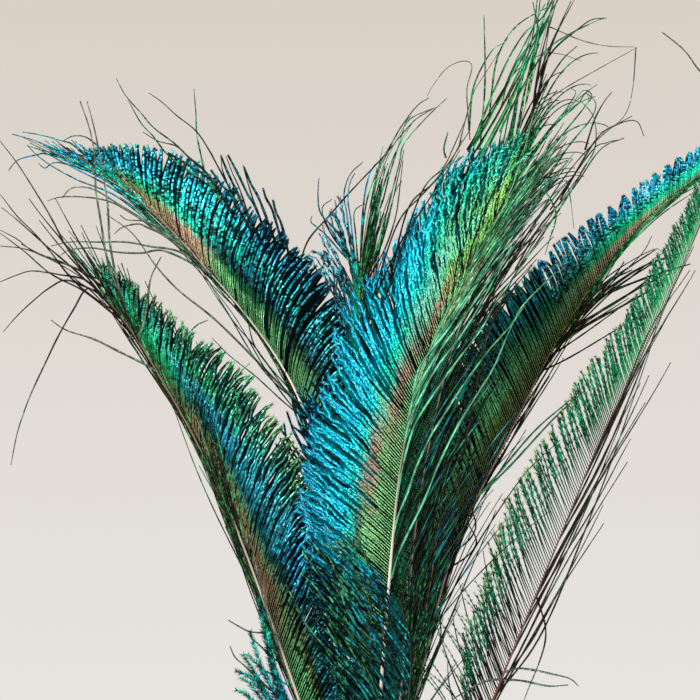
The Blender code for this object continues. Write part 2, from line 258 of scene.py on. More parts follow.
# Loose strands: colours from root to tip, width as a share of a barb's, and their barbules.
STRAND_LOOK = dict(blade_pitch=0.5, blade_width=0.34, calm=-1.0, dash=26, taper=0.4, metallic=0.4, glint=0.1,
                   shade=0.465, shade_soft=0.025, root_width=1.0)
STRAND_LOOKS = {
    "mint": dict(
        stops={0.5: "mint", 0.8: "emerald", 1: "pine"}, width=1.9, blade=(0.1, 0.15), contrast=(0.24, 0.48),
        dark=0.45, shade_depth=0.1, tints=("grey_green", "mint"), tint=0.7, taper=0.5, sparkle=(0.7, 1.15),
    ),
    "sage": dict(
        stops={0: "sage", 0.5: "aqua", 1: "pine"}, width=1.6, blade=(0.1, 0.3), taper=0.5,
        contrast=(0.26, 0.44), dark=0.4, shade_depth=0.06, tints=("aqua", "bronze"),
    ),
    "satin": dict(
        stops={0: "emerald", 0.3: "leaf_green", 0.7: "emerald", 1: "pine"}, width=1.7, blade=(0.05, 0.15),
        contrast=(0.24, 0.44), dark=0.3, shade=0.49, shade_depth=0.04, tints=("mint", "pine"), tint=0.4,
        taper=0.5, sparkle=(0.8, 1.15),
    ),
    "lime": dict(
        stops={0: "lime", 0.35: "pale_green", 0.7: "emerald", 1: "pine"}, width=1.6, blade=(0.1, 0.3),
        contrast=(0.32, 0.5), dark=0.2, shade_depth=0.08, tints=("pale_green", "mint"), tint=0.4,
    ),
    "green": dict(
        stops={0: "leaf_green", 0.5: "emerald", 1: "pine"}, width=1.5, blade=(0.2, 0.35), dark=0.12,
        shade_depth=0.06, tints=("mint", "emerald"), tint=0.4,
    ),
    "pine": dict(
        stops={0: "pine", 0.5: "leaf_green", 1: "pine"}, width=1.2, blade=(0.15, 0.35),
        contrast=(0.48, 0.64), dark=0.08, shade_depth=0.08, tints=("emerald", "dark_teal"), tint=0.6,
    ),
    "stem": dict(
        stops={0.5: "pine", 1: "deep_teal"}, width=1.3, blade=(0.05, 0.15), contrast=(0.38, 0.58),
        dark=0.08, shade=0.49, shade_depth=0.04, tints=("leaf_green", "deep_teal"), tint=0.6, dash=8,
        sparkle=(0.7, 1.2),
    ),
    "reed": dict(
        stops={0: "olive", 0.5: "moss", 1: "olive_dark"}, width=1.2, blade=(0.05, 0.2),
        contrast=(0.36, 0.56), dark=0.15, shade_depth=0.06, tints=("leaf_green", "olive"),
    ),
    "gloom": dict(
        stops={0: "pine", 0.5: "deep_teal", 1: "pine"}, width=1.2, blade=(0.1, 0.3), dark=0.08,
        shade_depth=0.1, tints=("emerald", "azure"), dash=9, sparkle=(0.7, 1.3),
    ),
    "frond": dict(
        stops={0: "deep_teal", 0.5: "pine", 0.85: "leaf_green", 1: "lime"}, width=1.8,
        blade=(0.2, 0.5, 0.9), contrast=(0.42, 0.6), dark=0.1, shade_depth=0.15,
        tints=("deep_teal", "leaf_green"), tint=0.4,
    ),
    "rope": dict(
        stops={0: "navy", 0.5: "deep_teal", 1: "pine"}, width=2.3, blade=(0.5, 0.8, 0.8), taper=0.8,
        dark=0.1, shade_depth=0.15, tints=("azure", "pine"), tint=0.4, blade_pitch=0.35,
    ),
    "tuft": dict(
        stops={0: "navy", 0.5: "deep_teal", 0.8: "azure"}, width=2, taper=0.8,
        blade=(0.3, 0.6, 1.1, 1.3, 1.2), contrast=(0.46, 0.62), shade=0.3, tints=("deep_teal", "azure"),
        tint=0.4, blade_pitch=0.32, blade_width=0.4, lean=24,
    ),
    "teal": dict(
        stops={0: "turquoise", 0.5: "azure", 1: "deep_teal"}, width=1.6, blade=(0.3, 0.5), dark=0.15,
        shade_depth=0.1, tints=("azure", "turquoise"),
    ),
    "down": dict(
        stops={0: "deep_teal", 0.5: "azure", 1: "turquoise"}, width=1.8, blade=(2, 2.6, 1.6),
        contrast=(0.4, 0.56), dark=0.08, shade=0.3, tints=("deep_teal", "turquoise"), tint=0.6,
        blade_pitch=0.36, blade_width=0.5, lean=38,
    ),
    "dark": dict(
        stops={0: "black_green", 0.5: "dark_brown", 1: "pine"}, width=1.4, blade=(0.2, 0.4),
        contrast=(0.46, 0.6), dark=0.25, tints=("pine", "dark_brown"),
    ),
    "hair": dict(
        stops={0: "black_green", 0.5: "grey_green", 1: "dark_teal"}, width=0.85, blade=(0.02, 0.1),
        contrast=(0.4, 0.6), dark=0.4, shade_depth=0.3, tints=("pine", "grey_green"), tint=0.3,
    ),
    "brown": dict(
        stops={0.6: "dark_brown", 1: "olive_dark"}, width=1.5, blade=(0.2, 0.4), contrast=(0.4, 0.58),
        dark=0.3, shade_depth=0.3, tints=("moss", "dark_brown"),
    ),
    "grey": dict(
        stops={0.6: "grey_green", 1: "grey_brown"}, width=1.9, blade=(0.3, 0.5), contrast=(0.35, 0.6),
        dark=0.45, tints=("moss", "grey_brown"), tint=0.3, shade_depth=0.4,
    ),
    "pink": dict(
        stops={0.5: "bronze", 1: "dark_brown"}, width=1.3, blade=(0.1, 0.3), contrast=(0.36, 0.55),
        dark=0.3, shade_depth=0.15, tints=("bronze", "moss"), tint=0.3,
    ),
    "sedge": dict(
        stops={0: "olive", 0.5: "olive_dark", 1: "black_green"}, width=2.2, blade=(0.5, 0.9),
        contrast=(0.4, 0.58), dark=0.15, tints=("dark_brown", "pine"),
    ),
    "tufted": dict(
        stops={0: "dark_brown", 0.5: "black_green", 0.7: "pine", 0.9: "emerald", 1: "lime"}, width=1,
        blade=(0, 0, 0.6, 1.2, 1), bare=0.4, tuft=1.7, contrast=(0.36, 0.54), dark=0.2, shade_depth=0.3,
        tints=("emerald", "pine"), tint=0.3, blade_pitch=0.26,
    ),
}

# ---------------------------------------------------------------- the feathers
# shaft (points in mm) and turn (degrees from its base to its tip by which the vane's face turns from
# the front) are the solid's own, and the vanes' shapes are close to the solid's. thickness is a share
# of the shaft's usual one. A vane is a stretch of the dense side from v to v, with its barbs' reach
# (mm) and the angles in degrees at which they leave the shaft and end, given at the places keys. Its
# zones give the colours along a barb, root to tip, at places along that stretch. What the barbs have
# beyond BARB_LOOK follows, and alike is what all of a feather's vanes share.

# A fan is a group of long sparse barbs. Unless it says otherwise, its tips don't curl, their angles
# stray by 4 degrees, and they aren't lifted (mm) but spread in depth by a share of their length.
FAN_LOOK = dict(curl=(0, 0), stray=4.0, lift=0, spread=0.04)


def fan(style, v, count, side, length, start, end, **more):
    """Sparse barbs from v to v, their lengths (mm) and angles given at the fan's base and at its end."""
    angles = dict(start=start, end=end)
    return dict(FAN_LOOK, style=style, v=v, count=count, side=side, length=length, **angles, **more)


FEATHERS = {
    "feather_front_low": dict(
        shaft=(
            (4, -14, 6.8), (2, -14, 110), (3, -20, 132), (4.5, -25, 148), (4.5, -30, 162), (1, -35, 175),
        ),
        side=LEFT, turn=(0, 4), thickness=0.45, slot="dark_plume", shaft_look=("dark_brown", "black_green"),
        vanes=(
            dict(
                v=(0.1, 0.95), keys=VANE_KEYS, reach=(25, 36, 41, 42, 38, 26),
                start=(30, 33, 33, 31, 24, 18), end=(36, 41, 43, 41, 34, 22),
                zones={
                    0.1: {0: "teal_dark", 0.3: "deep_teal", 0.6: "azure", 0.85: "emerald", 1: "grass"},
                    0.9: {0.3: "deep_teal", 0.6: "azure", 0.85: "emerald", 1: "lime"},
                },
                pitch=1.7, pull=(0.7, 0.4), grip=1.6, sway=7, wave=0.3, width=1.5, blade=(0, 0.1, 0.7, 0.9),
                backing=0, dark=0.08, taper=0.7, shade_depth=0.15, glint=0.1, root_width=0.3,
            ),
        ),
        fans=(
            fan("pine", (0.05, 0.9), 16, THIN, (50, 26), (12, 8), (24, 10)),
            fan("frond", (0, 0.8), 14, DENSE, (50, 40), (26, 20), (38, 28)),
            fan("teal", (0.2, 0.8), 8, DENSE, (32, 24), (30, 24), (46, 36)),
        ),
    ),
    "feather_centre": dict(
        shaft=(
            (-12, -10, 6.8), (-6, -10, 110), (-4, -14, 143), (0, -22, 195), (3, -26, 219), (7, -29, 238),
            (19, -34, 265), (33, -38, 291), (41, -41, 320), (46, -42, 352),
        ),
        side=LEFT, turn=(0, 8), thickness=0.9, slot="blue_plume",
        shaft_look=("cream", "cream", "grey_brown", "sage", "moss", "dark_brown"),
        vanes=(
            dict(
                v=(0, 0.2), keys=(0, 0.08, 0.25), reach=(14, 28, 34), start=(35, 52, 50), end=(35, 50, 60),
                zones={
                    0.45: {0.3: "pine", 0.5: "teal_dark", 1: "navy"},
                    1: {0: "pale_green", 0.3: "moss", 0.42: "pine", 0.6: "deep_teal", 1: "azure"},
                },
                pitch=1.02, clump=2, pull=(0.5, 0.2), stray=1.5, contrast=(0.44, 0.6), dark=0.08,
                shade_depth=0.15, tints=("deep_teal", "emerald"), tint=0.4, crinkle=0.25, steps=36,
                blade=(0, 0.05, 0.7, 0.95, 0.95), lean=26, sparkle=(0.3, 1.5), glint=0.15,
                under="black_teal", width=1.7, root_width=0.4,
            ),
            dict(
                v=(0.2, 0.56), keys=(0.08, 0.25, 0.34, 0.42, 0.5, 0.62), reach=(28, 34, 34, 35, 38, 39),
                start=(52, 50, 50, 47, 45, 42), end=(50, 60, 60, 42, 22, 9),
                zones={
                    0: {0: "pale_green", 0.3: "moss", 0.42: "pine", 0.6: "deep_teal", 1: "azure"},
                    0.17: {0.3: "pale_green", 0.4: "moss", 0.5: "turquoise", 0.62: "cyan", 0.9: "azure"},
                    0.42: {0.2: "pale_green", 0.28: "bronze", 0.34: "bronze", 0.46: "turquoise",
                           0.6: "cyan", 0.85: "cyan", 1: "azure"},
                    0.72: {0.07: "pale_green", 0.13: "bronze", 0.18: "bronze", 0.32: "turquoise",
                           0.5: "cyan", 0.85: "cyan", 1: "azure"},
                    1: {0: "pale_green", 0.1: "bronze", 0.17: "mint", 0.3: "aqua", 0.45: "turquoise",
                        0.7: "cyan", 1: "azure"},
                },
                pitch=0.92, clump=2, pull=(0, 0.1), uneven=0.03, sway=2, stray=0.8, contrast=(0.3, 0.46),
                dark=0.28, shade=0.2, shade_soft=0.16, shade_depth=0.25, calm=0.2, dash=44,
                tints=("azure", "cyan"), crinkle=0.4, steps=48, blade=(0, 0.05, 1.1, 1.5, 1.5), lean=24,
                blade_width=0.38, blade_pitch=0.34, sparkle=(0.3, 1.5), under="deep_teal", width=1.7,
                root_width=0.4, patch=0.25, backing=1.2, hold=6,
            ),
            dict(
                v=(0.56, 0.74), keys=(0.5, 0.62, 0.68, 0.74), reach=(38, 39, 31, 20),
                start=(45, 42, 28, 14), end=(22, 9, 5, 2),
                zones={
                    0: {0: "pale_green", 0.12: "bronze", 0.2: "mint", 0.32: "aqua", 0.5: "turquoise",
                        0.75: "cyan", 1: "azure"},
                    0.45: {0: "bronze", 0.13: "grass", 0.26: "mint", 0.45: "leaf_green", 0.7: "turquoise",
                           1: "azure"},
                    0.8: {0: "grass", 0.15: "lime", 0.35: "lime", 0.6: "grass", 0.8: "leaf_green",
                          1: "emerald"},
                },
                pitch=0.62, clump=2, pull=(0, 0.2), uneven=0.1, sway=5, stray=3.5, contrast=(0.27, 0.43),
                dark=0.18, shade=0.22, shade_soft=0.14, calm=0.2, dash=30, tints=("emerald", "turquoise"),
                tint=0.4, crinkle=0.8, steps=60, blade=(0, 0.3, 1, 1.2, 0.8), lean=30, blade_width=0.34,
                blade_pitch=0.34, sparkle=(0.4, 1.6), wave=0.2, glint=0.3, under="deep_teal", width=1.3,
                patch=0.3, backing=1, fluff=1.3,
            ),
        ),
        fans=(
            fan("gloom", (0.04, 0.5), 24, THIN, (90, 60), (18, 7), (34, 22), spread=0.02),
            fan("stem", (0.04, 0.5), 16, THIN, (80, 60), (22, 9), (34, 26), spread=0.02),
            fan("dark", (0.06, 0.6), 26, THIN, (80, 54), (12, 7), (24, 14), spread=0.02),
            fan("sage", (0.41, 0.64), 36, THIN, (82, 56), (10, 4), (25, 8), lift=2),
            fan("satin", (0.42, 0.62), 14, THIN, (74, 54), (9, 4), (26, 8), lift=2),
            fan("mint", (0.42, 0.62), 6, THIN, (74, 54), (8, 4), (22, 8), lift=4),
            fan("pink", (0.44, 0.66), 14, THIN, (62, 44), (7, 3), (18, 6), lift=4),
            fan("lime", (0.43, 0.66), 18, THIN, (60, 44), (5, 3), (17, 6), lift=3),
            fan("green", (0.54, 0.8), 22, THIN, (54, 34), (7, 5), (18, 26), curl=(0, 90)),
            fan("green", (0.56, 0.74), 20, DENSE, (48, 34), (20, 8), (2, -4)),
            fan("lime", (0.58, 0.76), 16, DENSE, (34, 28), (14, 8), (2, -6)),
            fan("dark", (0.52, 0.76), 12, DENSE, (54, 46), (24, 10), (2, -4)),
        ),
    ),
    "feather_lower_left": dict(
        shaft=(
            (23, -6, 6.8), (-16.6, -6, 110), (-28, -9, 142), (-44, -14, 187), (-56, -16, 215),
            (-76, -20, 250), (-90, -22, 266), (-109, -24, 277),
        ),
        side=RIGHT, turn=(0, -8), thickness=0.85, slot="blue_plume",
        shaft_look=("beige", "beige", "brown", "dark_brown"),
        alike=dict(bend=1.4, calm=0.1),
        vanes=(
            dict(
                v=(0, 0.3), keys=(0, 0.08, 0.25, 0.5), reach=(15, 28, 38, 33), start=(35, 42, 34, 24),
                end=(50, 58, 64, 66),
                zones={
                    0.4: {0: "leaf_green", 0.24: "fern", 0.34: "olive", 0.46: "deep_teal", 0.65: "azure",
                          1: "turquoise"},
                    0.95: {0: "grey_brown", 0.16: "brown", 0.26: "moss", 0.36: "deep_teal", 0.5: "azure",
                           0.8: "azure", 1: "deep_teal"},
                },
                pitch=0.98, pull=(0.2, 0.2), grip=8, dark=0.1, wave=0.15, sway=2, stray=1.2, crinkle=0.2,
                blade=(0, 0.1, 0.7, 0.8), tints=("emerald", "azure"), tint=0.4, root_width=0.42,
                under="black_teal", width=1.6,
            ),
            dict(
                v=(0.28, 0.82), keys=(0.25, 0.5, 0.62, 0.74, 0.84), reach=(39, 33, 26, 18, 12),
                start=(28, 24, 22, 18, 18), end=(64, 66, 58, 50, 36),
                zones={
                    0.1: {0: "grey_brown", 0.14: "brown", 0.24: "moss", 0.34: "deep_teal", 0.6: "azure",
                          0.8: "deep_teal", 0.9: "olive_dark", 1: "olive"},
                    0.5: {0: "bronze", 0.16: "brown", 0.26: "moss", 0.36: "deep_teal", 0.5: "azure",
                          0.66: "emerald", 0.82: "deep_teal", 0.9: "black_green", 1: "leaf_green"},
                    0.8: {0: "olive", 0.2: "pine", 0.4: "emerald", 0.6: "turquoise", 0.82: "deep_teal",
                          0.9: "olive_dark", 1: "olive"},
                },
                pitch=0.86, clump=2, pull=(0.5, 0.5), grip=12, contrast=(0.35, 0.51), dark=0.22, wave=0.12,
                shade=0.34, sway=1, stray=1.6, crinkle=0.26, taper=1, hold=9,
                blade=(0, 0.15, 0.4, 0.5, 0.2, 1.3), tints=("emerald", "moss"), tint=0.45, root_width=0.5,
                glint=0.3, ragged=0.12,
            ),
        ),
        fans=(
            fan("pine", (0.02, 0.62), 34, THIN, (85, 50), (5, 4), (-3, -1)),
            fan("grey", (0, 0.4), 8, THIN, (85, 60), (4, 4), (-2, -1)),
            fan("dark", (0.3, 0.66), 14, DENSE, (70, 46), (6, 5), (4, 2)),
            fan("brown", (0.3, 0.6), 20, THIN, (64, 46), (5, 3), (-3, -1)),
            fan("reed", (0.16, 0.62), 26, THIN, (74, 46), (6, 4), (-3, -1)),
            fan("green", (0.34, 0.84), 24, DENSE, (60, 34), (9, 7), (6, 0)),
            fan("dark", (0.3, 0.88), 26, DENSE, (60, 34), (8, 6), (3, 0)),
        ),
    ),
    "feather_far_right": dict(
        shaft=(
            (-25.5, -2, 6.8), (17.6, -2, 110), (30, -4, 142), (51, -9, 194), (62, -12, 221), (74, -14, 246),
            (89, -18, 280), (98, -22, 305),
        ),
        side=LEFT, turn=(0, 6), thickness=0.6, slot="green_plume",
        shaft_look=("red_brown", "dark_brown", "dark_brown"),
        alike=dict(
            keys=VANE_KEYS, reach=(12, 23, 28, 20, 12, 8), start=(35, 44, 45, 44, 42, 25),
            end=(30, 36, 38, 40, 42, 28), clump=2, pull=(0.1, 0.1), grip=3, bare=0.1, stray=3, taper=0.8,
            backing=0, tints=("emerald", "deep_teal"), tint=0.35, contrast=(0.4, 0.56), dark=0.12,
            blade_pitch=0.22, blade_width=0.46, glint=0.1, shade_depth=0.3,
        ),
        vanes=(
            dict(
                v=(0, 0.5),
                zones={
                    0.3: {0: "dark_brown", 0.4: "black_green", 0.6: "pine", 0.85: "emerald", 1: "lime"},
                    0.9: {0: "black_green", 0.25: "pine", 0.9: "emerald", 1: "lime"},
                },
                pitch=1, width=1.1, blade=(0, 0.3, 1.6, 2.1, 1.6), tuft=2.3, lean=26,
            ),
            dict(
                v=(0.5, 0.96),
                zones={
                    0: {0: "black_green", 0.25: "pine", 0.9: "emerald", 1: "lime"},
                    0.5: {0: "pine", 0.2: "emerald", 0.9: "emerald", 1: "leaf_green"},
                },
                pitch=0.78, width=1.3, blade=(0.1, 0.8, 1.5, 1.6, 1.2), tuft=2.1, lean=28,
            ),
        ),
        fans=(
            fan("brown", (0.02, 0.55), 10, THIN, (95, 60), (6, 4), (9, 4), stray=2),
            fan("tufted", (0, 0.2), 16, DENSE, (34, 27), (42, 42), (62, 52)),
            fan("dark", (0, 0.25), 8, DENSE, (34, 30), (60, 30), (20, 50)),
        ),
    ),
    "feather_middle": dict(
        shaft=(
            (-12, 2, 6.8), (-1.6, 2, 110), (2, 0, 141), (7, -3, 195), (15, -6, 237), (27, -8, 274),
            (38, -10, 314), (50, -11, 360),
        ),
        side=LEFT, turn=(0, 0), thickness=0.6, slot="dark_plume",
        shaft_look=("beige", "beige", "grey_brown", "dark_brown"),
        vanes=(
            dict(
                v=(0, 0.7), keys=(0, 0.08, 0.25, 0.5, 0.62, 0.72), reach=(12, 20, 26, 26, 22, 16),
                start=(30, 38, 42, 40, 30, 14), end=(35, 42, 46, 44, 32, 10),
                zones={
                    0.2: {0: "moss", 0.3: "emerald", 0.6: "azure"},
                    0.8: {0: "moss", 0.3: "emerald", 1: "azure"},
                },
                pitch=0.9, contrast=(0.46, 0.6), tints=("emerald", "azure"), tint=0.4, under="black_teal",
            ),
        ),
        fans=(
            fan("pine", (0.05, 0.6), 34, THIN, (70, 45), (14, 10), (22, 16)),
            fan("stem", (0, 0.45), 30, THIN, (80, 55), (6, 6), (12, 16)),
            fan("pink", (0, 0.35), 5, THIN, (90, 80), (4, 3), (7, 5)),
            fan("dark", (0.1, 0.65), 36, THIN, (60, 45), (18, 12), (26, 18)),
            fan("dark", (0.48, 0.66), 16, THIN, (44, 36), (22, 16), (30, 22)),
            fan("dark", (0.55, 0.8), 12, THIN, (40, 30), (8, 6), (24, 20), curl=(10, 60)),
            fan("green", (0.62, 0.86), 10, DENSE, (50, 40), (12, 6), (0, 0)),
        ),
    ),
    "feather_back_left": dict(
        shaft=(
            (-11, 5.5, 6.8), (-11, 5.5, 110), (-11, 6, 170), (-10.8, 7, 231), (-10, 8, 262), (-8, 9.5, 284),
            (-4, 10.5, 299), (5, 12, 317),
        ),
        side=LEFT, turn=(0, -4), thickness=0.6, slot="blue_plume",
        shaft_look=("beige", "brown", "dark_brown"),
        alike=dict(pull=(0.5, 0.5), wave=0.3),
        vanes=(
            dict(
                v=(0.17, 0.46), keys=(0.24, 0.46), reach=(31, 28), start=(34, 30), end=(52, 46),
                zones={0: {0: "pine", 0.4: "deep_teal", 0.8: "azure", 1: "emerald"}}, pitch=0.7, dark=0.04,
                contrast=(0.44, 0.58), tints=("azure", "cyan"),
            ),
            dict(
                v=(0.58, 0.74), keys=(0.58, 0.74), reach=(36, 27), start=(10, 20), end=(20, 34),
                zones={0: {0: "emerald", 0.3: "deep_teal", 0.7: "azure"}}, pitch=1.2, clump=4, grip=3,
                backing=0.2, contrast=(0.46, 0.62), crinkle=0.4, blade=(0.3, 0.7, 0.9),
                tints=("azure", "mint"), tint=0.4, sway=8,
            ),
        ),
        fans=(
            fan("green", (0.58, 0.76), 12, THIN, (50, 40), (8, 6), (10, 8)),
            fan("frond", (0.46, 0.62), 20, THIN, (42, 34), (14, 10), (26, 22)),
            fan("pine", (0.55, 0.78), 10, THIN, (46, 36), (8, 5), (14, 8)),
            fan("dark", (0.5, 0.7), 10, THIN, (46, 40), (10, 8), (20, 16)),
        ),
    ),
    "feather_right": dict(
        shaft=(
            (-25, 9, 6.8), (-1, 9, 110), (7, 10, 140), (18, 13, 183), (35, 15, 219), (53, 18, 253),
            (71, 22, 278), (95, 26, 300), (112, 29, 312),
        ),
        side=LEFT, turn=(0, 8), thickness=0.7, slot="blue_plume",
        shaft_look=("beige", "beige", "brown", "dark_brown"),
        alike=dict(
            keys=VANE_KEYS, reach=(14, 26, 36, 30, 14, 8), start=(20, 25, 34, 46, 50, 30),
            end=(25, 32, 52, 60, 60, 35), pitch=0.84, grip=9, sway=1.5, tints=("emerald", "azure"),
        ),
        vanes=(
            dict(
                v=(0, 0.62),
                zones={
                    0.3: {0: "brown", 0.2: "olive", 0.45: "pine", 0.8: "deep_teal", 1: "navy"},
                    0.65: {0: "grey_brown", 0.2: "olive", 0.34: "fern", 0.5: "leaf_green",
                           0.68: "deep_teal"},
                    0.95: {0: "olive", 0.2: "moss", 0.4: "pine", 0.7: "deep_teal", 0.94: "teal_dark",
                           1: "grass"},
                },
                clump=2, pull=(0.1, 0.2), dark=0.24, contrast=(0.3, 0.46), stray=0.9,
                blade=(0, 0.1, 0.6, 0.7), tint=0.35, glint=0.08, tint_from=0.5, shade=0.34, root_width=0.45,
                width=1.5, under="black_teal", backing=1.1, hold=8,
            ),
            dict(
                v=(0.62, 0.97),
                zones={
                    0.1: {0: "olive", 0.2: "moss", 0.38: "pine", 0.6: "deep_teal", 1: "azure"},
                    0.4: {0.16: "bronze", 0.28: "emerald", 0.5: "turquoise", 0.75: "azure"},
                    0.85: {0: "leaf_green", 0.4: "turquoise", 0.7: "azure", 1: "cyan"},
                },
                clump=4, pull=(1, 1), dark=0.08, contrast=(0.4, 0.56), stray=0.8,
                blade=(0, 0.1, 0.5, 0.35, 1), tint=0.3, glint=0.4, root_width=0.5, width=1.9, backing=0.7,
                hold=2, taper=1, uneven=0.03,
            ),
        ),
        fans=(
            fan("pine", (0.02, 0.35), 40, DENSE, (58, 60), (10, 14), (14, 20)),
            fan("dark", (0.02, 0.3), 30, DENSE, (50, 56), (8, 12), (12, 18)),
            fan("green", (0.6, 0.9), 24, THIN, (46, 24), (7, 6), (-2, 0)),
            fan("brown", (0.05, 0.6), 12, THIN, (60, 50), (6, 6), (4, 8)),
        ),
    ),
    "feather_upper_left": dict(
        shaft=(
            (10, 13, 6.8), (-3, 13, 110), (-8, 16, 145), (-15, 19, 185), (-25, 21, 222), (-37, 24, 246),
            (-59, 29, 273), (-83, 34, 296), (-116, 40, 313),
        ),
        side=RIGHT, turn=(0, -6), thickness=0.95, slot="blue_plume",
        shaft_look=("ivory", "ivory", "ivory", "beige", "brown", "brown"),
        alike=dict(
            keys=(0, 0.08, 0.25, 0.5, 0.75, 0.88), start=(20, 26, 26, 26, 26, 16), clump=2, tint=0.4,
            ragged=0.26, calm=0.22, patch=0.2, dash=24, sway=1.5, hold=8,
        ),
        vanes=(
            dict(
                v=(0, 0.62), reach=(14, 25, 33, 34, 27, 10), end=(66, 80, 86, 84, 66, 28),
                zones={
                    0.6: {0.28: "fern", 0.38: "pine", 0.48: "deep_teal", 0.7: "turquoise", 1: "navy"},
                    0.98: {0.2: "fern", 0.3: "pine", 0.42: "deep_teal", 0.6: "turquoise", 0.8: "azure",
                           1: "navy"},
                },
                pitch=0.92, pull=(0, 0.05), grip=5, dark=0.05, contrast=(0.42, 0.54), crinkle=0.14,
                taper=0.8, blade=(0, 0.15, 0.6, 0.9), tints=("azure", "cyan"), shade=0.48, shade_depth=0.04,
                glint=0.45, backing=1.5, width=1.6, stray=1.2, root_width=0.42, under="black_teal",
            ),
            dict(
                v=(0.62, 0.87), reach=(14, 25, 34, 35, 27, 10), end=(70, 90, 98, 90, 66, 28),
                zones={
                    0.12: {0.2: "fern", 0.3: "pine", 0.42: "deep_teal", 0.6: "turquoise", 0.85: "cyan",
                           1: "azure"},
                    0.36: {0.24: "bronze", 0.36: "turquoise", 0.8: "cyan", 1: "azure"},
                    0.8: {0: "bronze", 0.2: "olive", 0.4: "emerald", 0.7: "azure", 1: "deep_teal"},
                },
                pitch=0.96, pull=(0.1, 0.2), grip=7, contrast=(0.42, 0.55), crinkle=0.16,
                blade=(0, 0.15, 0.7, 1), shade=0.44, shade_depth=0.06, glint=0.4, backing=1.1, width=1.9,
                stray=1.5, root_width=0.34, taper=0.9,
            ),
        ),
        fans=(
            fan("stem", (0.3, 0.8), 10, THIN, (62, 36), (10, 6), (-6, 6)),
            fan("pine", (0.3, 0.8), 10, THIN, (60, 34), (10, 7), (-5, 8)),
            fan("teal", (0.8, 0.93), 16, DENSE, (26, 12), (14, 9), (6, 0)),
            fan("brown", (0.66, 0.9), 16, DENSE, (34, 22), (7, 5), (3, 0)),
            fan("pink", (0.66, 0.88), 12, DENSE, (34, 22), (7, 5), (3, 0)),
            fan("green", (0.64, 0.93), 20, THIN, (44, 14), (6, 5), (1, 3)),
        ),
    ),
}
